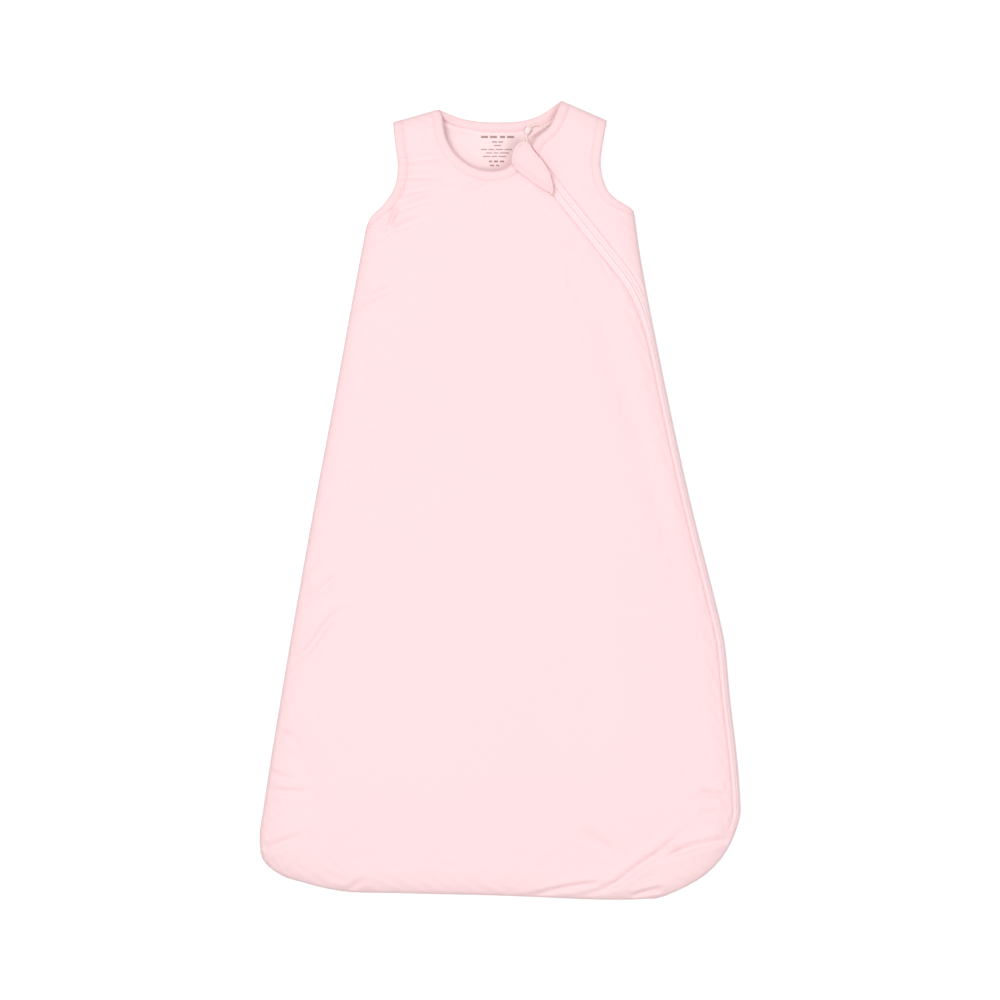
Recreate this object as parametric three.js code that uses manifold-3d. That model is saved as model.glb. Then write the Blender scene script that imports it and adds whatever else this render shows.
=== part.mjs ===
// A sleeveless baby sleeping bag lying flat on its back, zipped up.
// Every panel is a jersey shell, a wadding and a jersey lining. A ribbed binding edges the neck and
// the armholes, and a coil zip runs from the neck down to the right side and along it to the hem.
// Millimetres. +X is the viewer's right, +Y points to the neck and +Z points up from the table.
import * as THREE from "three";
import { mergeVertices } from "three/addons/utils/BufferGeometryUtils.js";
import Module from "manifold-3d";

const wasm = await Module();
wasm.setup();

// Driving sizes of the bag in plan.
const bagLength = 700;
const hemWidth = 421;
const chestWidth = 234.6;
const shoulderSpan = 187.3;
const neckSpan = 107.6;
const frontNeckDrop = 63;
const backNeckDrop = 19;
const leftArmpitDrop = 112;
const rightArmpitDrop = 97;
const leftTipDrop = 19.2;
const rightTipDrop = 17.5;
const leftNeckPointDrop = 7.9;
const hemCornerLift = 28;

// Cloth and wadding, and the space between the layers.
const gap = 0.3;
const shellThickness = 1;
const liningThickness = 0.8;
const paddingThickness = 2.4;
const roomInside = 9;
const edgeLift = 2.4;
const edgeReach = 22;
const bellyRise = 6;
const bellyReach = 110;
const bellyFade = 120;
const pinchedShare = 0.5;
const pinchReach = 12;

// Ribbed binding round the neck and the armholes.
const bindingWidth = 9;
const bindingLap = 3;
const bindingThickness = 0.8;
const bindingSeamClear = 6;
const strapSeamClear = 22;
const coreClear = 0.2;
const sliver = 0.05;
const lapGap = 0.6;

// Zip.
const zipLean = THREE.MathUtils.degToRad(38.7);
const bandHalf = 5.75;
const sideBandHalf = 3.75;
const zipBottomLift = 61;
const seamAllowance = 4;
const tapeThickness = 0.5;
const tapeGap = 0.35;
const coilWidth = 1.2;
const coilHeight = 1.2;
const coilGapHalf = 0.6;
const stopLength = 2;
const stopHeight = 1.6;
const apexWidth = 1.5;
const tapeStart = 0.8;
const tapeSettle = 40;
const tapeSeamClear = 0.8;

// Slider and its pull.
const sliderStart = 3;
const sliderLength = 11;
const sliderWidth = 8.6;
const plateThickness = 1.2;
const bridgeLength = 3;
const bridgeWidth = 0.8;
const bailStart = 1;
const bailLength = 8;
const bailLeg = 1;
const bailWidth = 1.6;
const bailClear = 1.85;
const bailTop = 0.8;
const pullLength = 20;
const pullWidth = 5;
const pullThickness = 0.9;
const pullBar = 1.1;
const pullHoleLength = 3;
const pullHoleWidth = 2.6;
const pullClear = 0.5;

// Guard, the leaf of cloth over the top of the zip.
const guardShellThickness = 1;
const guardSeat = 0.5;
const guardRise = 2.9;
const guardRamp = 6;
const guardEdgeWidth = 2.2;
const guardEdgeWrap = 0.35;

// Hang loop of a swing tag inside the neck.
const loopRadius = 10;
const loopThickness = 1.3;
const loopX = 33;
const loopDrop = 31.5;
const claspWidth = 4.6;
const claspLength = 6;
const claspHeight = 2.9;
const claspAngle = THREE.MathUtils.degToRad(150);

// Outlines, as hand-chosen shares of the sizes that they follow.
// Sides: share of the way from chest half width to hem half width, and of the way from armpit to hem.
const leftSideShares = [
  [0.963, 0.941], [1, 0.911], [0.953, 0.851], [0.803, 0.702],
  [0.644, 0.554], [0.476, 0.405], [0.299, 0.256], [0.093, 0.077], [0, 0],
];
const rightSideShares = [
  [0.622, 0.969], [0.811, 0.942], [0.925, 0.913], [1, 0.878], [1, 0.855], [0.972, 0.797],
  [0.906, 0.71], [0.849, 0.623], [0.764, 0.565], [0.529, 0.42], [0.283, 0.245], [0.066, 0.071], [0, 0],
];
// Hem: share of the hem half width, and of the corner lift above the lowest point.
const hemShares = [
  [-0.912, 0.777], [-0.823, 0.546], [-0.66, 0.27], [-0.41, 0.2],
  [0, 0.125], [0.43, 0], [0.6, 0.02], [0.67, 0.08],
];
// Armholes: share of the way in from tip to armpit, and of the way up from armpit to tip.
const leftArmholeShares = [
  [1, 0], [0.807, 0.095], [0.346, 0.208], [-0.075, 0.377], [-0.193, 0.566], [-0.114, 0.736], [0, 1],
];
const rightArmholeShares = [
  [1, 0], [0.714, 0.054], [0.318, 0.12], [0.069, 0.186],
  [-0.143, 0.318], [-0.253, 0.504], [-0.18, 0.714], [0, 1],
];
// Neck: share of the neck half width, and of the front or back drop.
const frontNeckLeftShares = [
  [-0.943, 0.23], [-0.878, 0.528], [-0.748, 0.737], [-0.553, 0.889],
  [-0.358, 0.972], [-0.163, 1], [0.017, 0.986], [0.17, 0.915],
];
const frontNeckRightShares = [[0.6, 0.535], [0.748, 0.43], [0.829, 0.348], [0.928, 0.16]];
const backNeckShares = [[-0.65, 0.8], [-0.325, 0.97], [0, 1], [0.325, 0.95], [0.65, 0.68]];
// Zip: where it starts in the neck, as the neck's shares, and how far its straight stretch reaches across
// the chest's half width.
const zipTopShares = [0.4275, 0.73];
const zipReachShare = 0.909;
// Guard: places along the zip and across it, as shares of the guard's length and width.
const guardLength = 53;
const guardWidth = 23;
const guardOverhang = 9;
const guardAcross = 17.6;
const guardSeamShares = [[0.208, 0], [0.35, 0.03], [0.53, 0.135], [0.747, 0.27], [0.938, 0.457]];
const guardFreeShares = [
  [1, 0.509], [0.928, 0.67], [0.777, 0.848], [0.674, 0.943], [0.483, 1], [0.255, 0.983],
  [0.113, 1], [0.03, 0.92], [0, 0.78], [0.01, 0.51], [0.113, 0.148], [0.208, 0],
];
// Grid lines of the guard, from its sewn edge to its free edge and from its top to its tip.
const guardAcrossShares = [0, 0.12, 0.25, 0.45, 0.7, 1];
const guardAlongShares = [0, 0.08, 0.16, 0.24, 0.33, 0.42, 0.52, 0.62, 0.72, 0.82, 0.91, 1];
// Handles of the bend in the zip line, as a share of the way that it spans.
const handleShare = 0.35;
// Where the zip reaches the side seam, as a share of the way from armpit to hem, counted from the armpit.
const landingDropShare = 0.245;
// Steps across a lap of the binding and across a zip tape.
const lapSteps = 3;
const tapeSteps = 8;
const tapeStepPower = 2;

// Slider plate and pull: share of the length, and of the half width.
const sliderShares = [
  [0, -0.8], [0.12, -1], [0.45, -1], [0.9, -0.72], [1, -0.5],
  [1, 0.5], [0.9, 0.72], [0.45, 1], [0.12, 1], [0, 0.8],
];
const pullShares = [
  [0, -0.9], [0.04, -1], [0.25, -1], [0.35, -0.7], [0.9, -0.8], [1, -0.45],
  [1, 0.45], [0.9, 0.8], [0.35, 0.7], [0.25, 1], [0.04, 1], [0, 0.9],
];

// Grid lines of the panels, closer together where the cloth turns down to a seam.
const shoulderShare = 0.22;
const acrossShares = [
  0, 0.015, 0.04, 0.09, shoulderShare, 0.36, 0.5, 0.64, 1 - shoulderShare, 0.91, 0.96, 0.985, 1,
];
const stopShare = 0.09;
const armpitShare = 0.82;
const armpitStepShare = 0.012;
const alongShares = [
  0, 0.012, 0.035, stopShare, 0.16, 0.24, 0.33, 0.42, 0.5, 0.58, 0.65, 0.71, 0.77,
  armpitShare - armpitStepShare, armpitShare, 0.85, 0.88, 0.91, 0.94, 0.965, 0.985, 1,
];
const sideAcrossShares = [0, 0.1, 0.25, 0.42, 0.58, 0.75, 0.9, 1];
const sideArmpitShare = 0.42;
const sideNeckShare = 0.66;
const sideAlongShares = [
  0, 0.05, 0.1, 0.15, 0.2, 0.25, 0.3, 0.36, sideArmpitShare - armpitStepShare, sideArmpitShare,
  0.46, 0.5, 0.55, 0.6, sideNeckShare, 0.72, 0.78, 0.84, 0.9, 0.95, 0.975, 1,
];
// How fast the shape of a side dies away across a panel, as a power.
const sideFade = 3;
// How fast the cloth edge at the neck turns to run with the zip, as a power.
const turnFade = 4;
// Where the front panel's edge leaves the side seam for the zip, as a share of the way from the corner.
const cornerShare = 0.55;
// How far the wadding stops inside each panel, in grid lines from its edges.
const widePadding = { across: 2, below: 2, above: 2 };
const narrowPadding = { across: 2, below: 6, above: 4 };

// Places worked out from the sizes.
const topY = bagLength / 2;
const hemY = -bagLength / 2;
const halfChest = chestWidth / 2;
const halfHem = hemWidth / 2;
const halfNeck = neckSpan / 2;
const halfShoulder = shoulderSpan / 2;

const at = (x, y) => new THREE.Vector2(x, y);
const mix = (a, b, t) => a + (b - a) * t;
const smooth = (t) => THREE.MathUtils.smoothstep(t, 0, 1);

// A smooth curve through points, as a function of the share of its length.
function spline(points) {
  const places = points.map((p) => new THREE.Vector3(p.x, p.y, 0));
  const curve = new THREE.CatmullRomCurve3(places, false, "centripetal");
  return (t) => {
    const p = curve.getPointAt(THREE.MathUtils.clamp(t, 0, 1));
    return at(p.x, p.y);
  };
}

const stretch = (curve, from, to) => (t) => curve(mix(from, to, t));

// The unit normal on the left of a curve at a share of its length.
const normalStepShare = 0.002;

function leftNormal(curve, t) {
  const after = curve(Math.min(t + normalStepShare, 1));
  const before = curve(Math.max(t - normalStepShare, 0));
  const ahead = after.sub(before).normalize();
  return at(-ahead.y, ahead.x);
}

// A curve that reads one piece up to a share and the next piece after it.
function pieced(pieces, shares) {
  return (t) => {
    let i = 0;
    while (i < shares.length && t > shares[i]) i += 1;
    const from = i === 0 ? 0 : shares[i - 1];
    const to = i === shares.length ? 1 : shares[i];
    return pieces[i]((t - from) / (to - from));
  };
}

const straightLine = (a, b) => (t) => at(mix(a.x, b.x, t), mix(a.y, b.y, t));

// Outline of the bag.
function side(sign, shares, drop) {
  const armpitY = topY - drop;
  return spline(shares.map(([x, y]) => at(sign * mix(halfChest, halfHem, x), mix(armpitY, hemY, y))));
}

function armhole(sign, shares, armpitDrop, tipDrop) {
  const armpitY = topY - armpitDrop;
  const tipY = topY - tipDrop;
  return spline(shares.map(([x, y]) => at(sign * mix(halfShoulder, halfChest, x), mix(armpitY, tipY, y))));
}

const leftSide = side(-1, leftSideShares, leftArmpitDrop);
const rightSide = side(1, rightSideShares, rightArmpitDrop);
const leftArmhole = armhole(-1, leftArmholeShares, leftArmpitDrop, leftTipDrop);
const rightArmhole = armhole(1, rightArmholeShares, rightArmpitDrop, rightTipDrop);
const leftNeckPoint = at(-halfNeck, topY - leftNeckPointDrop);
const rightNeckPoint = at(halfNeck, topY);
const hemPlaces = hemShares.map(([x, y]) => at(x * halfHem, hemY + y * hemCornerLift));
const hem = spline([leftSide(0), ...hemPlaces, rightSide(0)]);
const backNeck = spline([
  leftNeckPoint,
  ...backNeckShares.map(([x, y]) => at(x * halfNeck, topY - y * backNeckDrop)),
  rightNeckPoint,
]);

// Zip line: straight from the neck, then a bend on to the right side, then a little inside the side.
const zipDirection = at(Math.sin(zipLean), -Math.cos(zipLean));
const zipAcross = at(Math.cos(zipLean), Math.sin(zipLean));
const neckPlace = ([x, y]) => at(x * halfNeck, topY - y * frontNeckDrop);
const zipTop = neckPlace(zipTopShares);
const zipStraight = (halfChest * zipReachShare - zipTop.x) / zipDirection.x;
const zipPoint = (along, across) =>
  at(
    zipTop.x + zipDirection.x * along + zipAcross.x * across,
    zipTop.y + zipDirection.y * along + zipAcross.y * across,
  );

// The share of the right side at a height above the hem.
function sideShareAt(y) {
  let low = 0;
  let high = 1;
  for (let i = 0; i < 40; i += 1) {
    const middle = (low + high) / 2;
    if (rightSide(middle).y < y) low = middle;
    else high = middle;
  }
  return low;
}

const landingShare = sideShareAt(mix(topY - rightArmpitDrop, hemY, landingDropShare));
const zipEndShare = sideShareAt(hemY + zipBottomLift);
const insideSide = (t, inset) => rightSide(t).addScaledVector(leftNormal(rightSide, t), inset);

function makeZipLine() {
  const straightEnd = zipPoint(zipStraight, 0);
  const landing = insideSide(landingShare, sideBandHalf);
  const down = leftNormal(rightSide, landingShare).rotateAround(at(0, 0), Math.PI / 2);
  const handle = straightEnd.distanceTo(landing) * handleShare;
  const bend = new THREE.CubicBezierCurve(
    straightEnd,
    straightEnd.clone().addScaledVector(zipDirection, handle),
    landing.clone().addScaledVector(down, -handle),
    landing,
  );
  const points = [];
  const straightSteps = 24;
  for (let i = 0; i < straightSteps; i += 1) points.push(zipPoint((zipStraight * i) / straightSteps, 0));
  const bendSteps = 12;
  for (let i = 0; i < bendSteps; i += 1) points.push(bend.getPointAt(i / bendSteps));
  const sideSteps = 30;
  for (let i = 0; i <= sideSteps; i += 1) {
    points.push(insideSide(mix(landingShare, zipEndShare, i / sideSteps), sideBandHalf));
  }
  return spline(points);
}

function lengthOf(curve) {
  const steps = 400;
  let total = 0;
  for (let i = 0; i < steps; i += 1) total += curve(i / steps).distanceTo(curve((i + 1) / steps));
  return total;
}

const zipLine = makeZipLine();
const zipLength = lengthOf(zipLine);
const straightShare = zipStraight / zipLength;
const bendLength = zipPoint(zipStraight, 0).distanceTo(insideSide(landingShare, sideBandHalf));
const bendEndShare = straightShare + bendLength / zipLength;

// Half the width of the zip band, which narrows where it reaches the side.
const bendAt = (t) => smooth((t - straightShare) / (bendEndShare - straightShare));
const halfBandAt = (t) => mix(bandHalf, sideBandHalf, bendAt(t));
const besideZip = (t, across) => zipLine(t).addScaledVector(leftNormal(zipLine, t), across);

// Front neck, in two stretches that stop at the two sides of the zip band.
const zipTopLeft = zipPoint(0, -bandHalf);
const zipTopRight = zipPoint(0, bandHalf);
const frontNeckLeft = spline([leftNeckPoint, ...frontNeckLeftShares.map(neckPlace), zipTopLeft]);
const frontNeckRight = spline([zipTopRight, ...frontNeckRightShares.map(neckPlace), rightNeckPoint]);

// A bound edge: the curve, its inward side, and how its normal turns to the zip where it ends there.
function boundEdge(curve, inward, zipEnd) {
  return (t, inset) => {
    const normal = leftNormal(curve, t).multiplyScalar(inward);
    const turn = zipEnd === undefined ? 0 : Math.pow(zipEnd === 1 ? t : 1 - t, turnFade);
    normal.lerp(zipDirection, turn).normalize();
    return curve(t).addScaledVector(normal, inset);
  };
}

const edges = {
  leftArmhole: boundEdge(leftArmhole, -1),
  rightArmhole: boundEdge(rightArmhole, 1),
  backNeck: boundEdge(backNeck, -1),
  frontNeckLeft: boundEdge(frontNeckLeft, -1, 1),
  frontNeckRight: boundEdge(frontNeckRight, -1, 0),
};
const clothInset = bindingWidth - bindingLap + gap;
const clothEdge = (edge) => (t) => edge(t, clothInset);

// Distance from a place to a list of lines.
function sampled(curve, steps) {
  const points = [];
  for (let i = 0; i <= steps; i += 1) points.push(curve(i / steps));
  return points;
}

function distanceTo(lines, x, y) {
  let nearest = Infinity;
  for (const line of lines) {
    for (let i = 1; i < line.length; i += 1) {
      const a = line[i - 1];
      const b = line[i];
      const dx = b.x - a.x;
      const dy = b.y - a.y;
      const t = THREE.MathUtils.clamp(((x - a.x) * dx + (y - a.y) * dy) / (dx * dx + dy * dy), 0, 1);
      nearest = Math.min(nearest, Math.hypot(x - a.x - dx * t, y - a.y - dy * t));
    }
  }
  return nearest;
}

const seamLines = [
  sampled(leftSide, 60),
  sampled(hem, 40),
  sampled(rightSide, 60),
  [leftArmhole(1), leftNeckPoint],
  [rightArmhole(1), rightNeckPoint],
];
const armholeLines = [sampled(leftArmhole, 24), sampled(rightArmhole, 24)];
const backBoundLines = [...armholeLines, sampled(backNeck, 24)];
const frontBoundLines = [...armholeLines, sampled(frontNeckLeft, 30), sampled(frontNeckRight, 20)];
const zipLines = [sampled(zipLine, 80)];

// How far the cloth has risen from a seam, from 0 on the seam to 1 on the level part.
function rise(x, y) {
  const share = Math.min(distanceTo(seamLines, x, y) / edgeReach, 1);
  return Math.sqrt(1 - (1 - share) * (1 - share));
}

function openRise(distance) {
  return mix(pinchedShare, 1, smooth(distance / pinchReach));
}

const fromBackBinding = (x, y) => distanceTo(backBoundLines, x, y) - bindingWidth;
const backPinch = (x, y) => openRise(fromBackBinding(x, y));
const frontPinch = (x, y) =>
  Math.min(
    openRise(distanceTo(frontBoundLines, x, y) - bindingWidth),
    openRise(distanceTo(zipLines, x, y) - bandHalf),
  );

function belly(x, y) {
  const fromSeam = smooth(distanceTo(seamLines, x, y) / bellyReach);
  const belowZip = smooth((zipPoint(zipStraight, 0).y - y) / bellyFade);
  return bellyRise * fromSeam * belowZip;
}

// Heights of the layers. Each function gives one face of one layer.
const seamLift = (x, y) => edgeLift * (1 - rise(x, y));
const bindingClear = bindingThickness + lapGap + gap;
const bindingLift = (x, y) => bindingClear * rise(x, y) * (1 - smooth(fromBackBinding(x, y) / pinchReach));
const height = {};
height.backShellLow = (x, y) => seamLift(x, y) + bindingLift(x, y);
height.backShellTop = (x, y) => height.backShellLow(x, y) + shellThickness;
height.backPaddingLow = (x, y) => height.backShellTop(x, y) + gap;
height.backPaddingTop = (x, y) =>
  height.backPaddingLow(x, y) + paddingThickness * rise(x, y) * backPinch(x, y);
height.backLiningLow = (x, y) => height.backPaddingTop(x, y) + gap;
height.backLiningTop = (x, y) => height.backLiningLow(x, y) + liningThickness;
height.frontLiningLow = (x, y) =>
  seamLift(x, y) + shellThickness + gap * 3 + liningThickness +
  (paddingThickness + roomInside) * rise(x, y) + belly(x, y);
height.frontLiningTop = (x, y) => height.frontLiningLow(x, y) + liningThickness;
height.frontPaddingLow = (x, y) => height.frontLiningTop(x, y) + gap;
height.frontPaddingTop = (x, y) =>
  height.frontPaddingLow(x, y) + paddingThickness * rise(x, y) * frontPinch(x, y);
height.frontShellLow = (x, y) => height.frontPaddingTop(x, y) + gap;
height.frontShellTop = (x, y) => height.frontShellLow(x, y) + shellThickness;
const raised = (face, by) => (x, y) => face(x, y) + by;

// A patch of cloth between four curves that meet at its corners. It is ruled from bottom to top, and
// what the sides depart from straight dies away quickly towards the middle.
function patch(bottom, top, left, right) {
  const departure = (sideCurve, v) => sideCurve(v).sub(sideCurve(0).lerp(sideCurve(1), v));
  return (u, v) =>
    bottom(u)
      .lerp(top(u), v)
      .addScaledVector(departure(left, v), Math.pow(1 - u, sideFade))
      .addScaledVector(departure(right, v), Math.pow(u, sideFade));
}

// A side seam up to its armpit, a short step in to the cloth edge of the armhole, and that edge.
function sideAndArmhole(seam, edge, armpit) {
  const opening = clothEdge(edge);
  const sideEnd = stretch(seam, 0, 1 - clothInset / lengthOf(seam));
  return pieced([sideEnd, straightLine(sideEnd(1), opening(0)), opening], [armpit - armpitStepShare, armpit]);
}

function backPatch() {
  const left = sideAndArmhole(leftSide, edges.leftArmhole, armpitShare);
  const right = sideAndArmhole(rightSide, edges.rightArmhole, armpitShare);
  const neck = clothEdge(edges.backNeck);
  const top = pieced(
    [straightLine(left(1), neck(0)), neck, straightLine(neck(1), right(1))],
    [shoulderShare, 1 - shoulderShare],
  );
  return patch(hem, top, left, right);
}

// The left side of the zip band, from the neck binding down to the end of the zip.
const neckEndShare = clothInset / zipLength;
const bandLeft = (t) => besideZip(t, -halfBandAt(t));
const bandRight = (t) => besideZip(t, halfBandAt(t));
const frontZipShare = (v) => mix(1, neckEndShare, (v - stopShare) / (1 - stopShare));

function frontPatch() {
  const left = sideAndArmhole(leftSide, edges.leftArmhole, armpitShare);
  const neck = clothEdge(edges.frontNeckLeft);
  const cornerInset = (t) => sideBandHalf * 2 * smooth((t - cornerShare) / (1 - cornerShare));
  const corner = (t) => insideSide(mix(0, zipEndShare, t), cornerInset(t));
  const right = (v) => (v < stopShare ? corner(v / stopShare) : bandLeft(frontZipShare(v)));
  const top = pieced([straightLine(left(1), neck(0)), neck], [shoulderShare]);
  return patch(hem, top, left, right);
}

// Where the right side of the zip band has come so near the side seam that the side panel ends.
function findApexShare() {
  const steps = 400;
  for (let i = 0; i <= steps; i += 1) {
    const t = mix(straightShare, 1, i / steps);
    const edge = bandRight(t);
    if (distanceTo([seamLines[2]], edge.x, edge.y) < apexWidth) return t;
  }
  return 1;
}

const apexShare = findApexShare();

// The side panel is ruled from the zip and the neck on its left to the side and the armhole on its right.
function sidePatch() {
  const apexSide = sideShareAt(bandRight(apexShare).y);
  const zipEdge = (t) => bandRight(mix(apexShare, neckEndShare, t));
  const left = pieced([zipEdge, clothEdge(edges.frontNeckRight)], [sideNeckShare]);
  const right = sideAndArmhole(stretch(rightSide, apexSide, 1), edges.rightArmhole, sideArmpitShare);
  return (u, v) => left(v).lerp(right(v), u);
}

// A closed solid between two heights over a grid of places.
function closedSheet(rows, low, top) {
  const count = rows[0].length;
  const positions = [];
  for (const face of [low, top]) {
    for (const row of rows) {
      for (const p of row) positions.push(p.x, p.y, face(p.x, p.y));
    }
  }
  const layer = rows.length * count;
  const index = [];
  const quad = (a, b, c, d) => index.push(a, b, c, a, c, d);
  for (let j = 0; j + 1 < rows.length; j += 1) {
    for (let i = 0; i + 1 < count; i += 1) {
      const a = j * count + i;
      quad(a, a + count, a + count + 1, a + 1);
      quad(layer + a, layer + a + 1, layer + a + count + 1, layer + a + count);
    }
  }
  const wall = (a, b) => quad(a, b, layer + b, layer + a);
  for (let i = 0; i + 1 < count; i += 1) {
    wall(i, i + 1);
    wall((rows.length - 1) * count + i + 1, (rows.length - 1) * count + i);
  }
  for (let j = 0; j + 1 < rows.length; j += 1) {
    wall((j + 1) * count, j * count);
    wall(j * count + count - 1, (j + 1) * count + count - 1);
  }
  const [first, ahead, beside] = [rows[0][0], rows[0][1], rows[1][0]];
  const turn = ahead.clone().sub(first).cross(beside.clone().sub(first));
  const geometry = new THREE.BufferGeometry();
  geometry.setAttribute("position", new THREE.Float32BufferAttribute(positions, 3));
  geometry.setIndex(turn > 0 ? index : index.reverse());
  return geometry;
}

function clothSolid(cloth, across, along, low, top) {
  return closedSheet(along.map((v) => across.map((u) => cloth(u, v))), low, top);
}

// A strip along an edge, between two insets from it, in a number of steps across. The steps narrow
// towards the far side by a power.
function strip(edge, shares, fromInset, toInset, low, top, steps = 1, power = 1) {
  const to = (t) => (typeof toInset === "function" ? toInset(t) : toInset);
  const rows = [];
  for (let i = 0; i <= steps; i += 1) {
    const across = 1 - Math.pow(1 - i / steps, power);
    rows.push(shares.map((t) => edge(t, mix(fromInset, to(t), across))));
  }
  return closedSheet(rows, low, top);
}

// Joining and cutting.
function solid(geometry) {
  const bare = geometry.clone();
  bare.deleteAttribute("normal");
  bare.deleteAttribute("uv");
  const merged = mergeVertices(bare);
  return new wasm.Manifold(
    new wasm.Mesh({
      numProp: 3,
      vertProperties: new Float32Array(merged.attributes.position.array),
      triVerts: new Uint32Array(merged.index.array),
    }),
  );
}

function geometryOf(body) {
  const mesh = body.getMesh();
  const geometry = new THREE.BufferGeometry();
  const positions = new Float32Array(mesh.numVert * 3);
  for (let i = 0; i < mesh.numVert; i += 1) {
    positions.set(mesh.vertProperties.subarray(i * mesh.numProp, i * mesh.numProp + 3), i * 3);
  }
  geometry.setAttribute("position", new THREE.BufferAttribute(positions, 3));
  geometry.setIndex(new THREE.BufferAttribute(new Uint32Array(mesh.triVerts), 1));
  return geometry;
}

// What joining and cutting leaves is freed of slivers thinner than a hair.
const cleaned = (body) => geometryOf(body.simplify(sliver));
const joined = (geometries) => cleaned(geometries.map(solid).reduce((a, b) => a.add(b)));
const cutBy = (geometry, cutter) => cleaned(solid(geometry).subtract(solid(cutter)));

// Materials.
const cloth = (color) => new THREE.MeshStandardMaterial({ color, roughness: 0.95, metalness: 0 });
const materials = {
  shell: cloth(0xfde7e9),
  lining: cloth(0xfde3e5),
  padding: cloth(0xffffff),
  binding: cloth(0xfbdddf),
  tape: cloth(0xfbdee0),
  coil: new THREE.MeshStandardMaterial({ color: 0xf8d6d9, roughness: 0.5, metalness: 0 }),
  slider: new THREE.MeshStandardMaterial({ color: 0xf2d2d4, roughness: 0.4, metalness: 0.2 }),
  stop: new THREE.MeshStandardMaterial({ color: 0xc9a6a6, roughness: 0.4, metalness: 0.6 }),
  loop: new THREE.MeshStandardMaterial({ color: 0xfbe9dc, roughness: 0.5, metalness: 0 }),
  clasp: new THREE.MeshStandardMaterial({ color: 0xe9e4e6, roughness: 0.4, metalness: 0 }),
};

const bag = new THREE.Group();
const zipFrame = new THREE.Group();
zipFrame.position.set(zipTop.x, zipTop.y, 0);
zipFrame.rotation.z = Math.atan2(zipDirection.y, zipDirection.x);
bag.add(zipFrame);

function addPiece(name, geometry, material, parent = bag) {
  const mesh = new THREE.Mesh(geometry, material);
  mesh.name = name;
  parent.add(mesh);
}

// A group at a hinge, and a piece that hangs on it.
function addHinge(place) {
  const hinge = new THREE.Group();
  hinge.position.copy(place);
  zipFrame.add(hinge);
  return hinge;
}

function addHung(name, geometry, material, hinge) {
  const place = hinge.position;
  addPiece(name, geometry.translate(-place.x, -place.y, -place.z), material, hinge);
}

// The three layers of one panel. The wadding keeps to the inner grid lines.
function addPanel(name, panel, across, along, face, lines, cores) {
  const innerAcross = across.slice(lines.across, -lines.across);
  const innerAlong = along.slice(lines.below, -lines.above);
  const layer = (rows, columns, kind) => {
    const whole = clothSolid(panel, columns, rows, height[face + kind + "Low"], height[face + kind + "Top"]);
    return cores ? cutBy(whole, cores) : whole;
  };
  addPiece(name + "_shell", layer(along, across, "Shell"), materials.shell);
  addPiece(name + "_padding", layer(innerAlong, innerAcross, "Padding"), materials.padding);
  addPiece(name + "_lining", layer(along, across, "Lining"), materials.lining);
}

// The grid lines of a panel that reach one stretch of its edge, as shares of that stretch.
const stretchShares = (lines, from, to) =>
  lines.filter((line) => line >= from && line <= to).map((line) => (line - from) / (to - from));

// A binding over one stretch of edge: a folded core, and two flanges that lap over the cloth.
// The flanges stop a little before a seam, where front and back meet.
function bindingCore(edge, shares, low, top, grown = 0) {
  const core = bindingWidth - bindingLap;
  const wrap = lapGap + bindingThickness + grown;
  return strip(edge, shares, -grown, core + grown, raised(low, -wrap), raised(top, wrap));
}

function boundStretch(edge, shares, clearStart, clearEnd, low, top) {
  const length = lengthOf((t) => edge(t, 0));
  const lapped = shares.filter((t) => t * length >= clearStart && (1 - t) * length >= clearEnd);
  const foot = raised(low, -lapGap - bindingThickness);
  const head = raised(top, lapGap + bindingThickness);
  const core = bindingWidth - bindingLap;
  return [
    bindingCore(edge, shares, low, top),
    strip(edge, lapped, core - gap, bindingWidth, foot, raised(low, -lapGap), lapSteps),
    strip(edge, lapped, core - gap, bindingWidth, raised(top, lapGap), head, lapSteps),
  ];
}

const sideZipShares = stretchShares(sideAlongShares, 0, sideNeckShare);
const sideNeckShares = stretchShares(sideAlongShares, sideNeckShare, 1);
const sideArmholeShares = stretchShares(sideAlongShares, sideArmpitShare, 1);

// The side panel is so narrow at its armpit that its grid is trimmed clear of the bindings.
function addPanels() {
  const core = (edge, shares) =>
    bindingCore(edge, shares, height.frontLiningLow, height.frontShellTop, coreClear);
  const cores = joined([
    core(edges.rightArmhole, sideArmholeShares),
    core(edges.frontNeckRight, sideNeckShares),
  ]);
  addPanel("back", backPatch(), acrossShares, alongShares, "back", widePadding);
  addPanel("front", frontPatch(), acrossShares, alongShares, "front", widePadding);
  addPanel("side", sidePatch(), sideAcrossShares, sideAlongShares, "front", narrowPadding, cores);
}

const backStretch = (edge, shares) =>
  boundStretch(edge, shares, bindingSeamClear, bindingSeamClear, height.backShellLow, height.backLiningTop);
const frontStretch = (edge, shares, clearStart, clearEnd) =>
  boundStretch(edge, shares, clearStart, clearEnd, height.frontLiningLow, height.frontShellTop);

function addBindings() {
  const backNeckShares = stretchShares(acrossShares, shoulderShare, 1 - shoulderShare);
  const frontNeckShares = stretchShares(acrossShares, shoulderShare, 1);
  const armholeShares = stretchShares(alongShares, armpitShare, 1);
  const clear = bindingSeamClear;
  const neck = [
    ...backStretch(edges.backNeck, backNeckShares),
    ...frontStretch(edges.frontNeckLeft, frontNeckShares, clear, 0),
    ...frontStretch(edges.frontNeckRight, sideNeckShares, 0, strapSeamClear),
  ];
  const left = [
    ...backStretch(edges.leftArmhole, armholeShares),
    ...frontStretch(edges.leftArmhole, armholeShares, clear, clear),
  ];
  const right = [
    ...backStretch(edges.rightArmhole, armholeShares),
    ...frontStretch(edges.rightArmhole, sideArmholeShares, clear, clear),
  ];
  addPiece("neck_binding", joined(neck), materials.binding);
  addPiece("left_armhole_binding", joined(left), materials.binding);
  addPiece("right_armhole_binding", joined(right), materials.binding);
}

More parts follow.
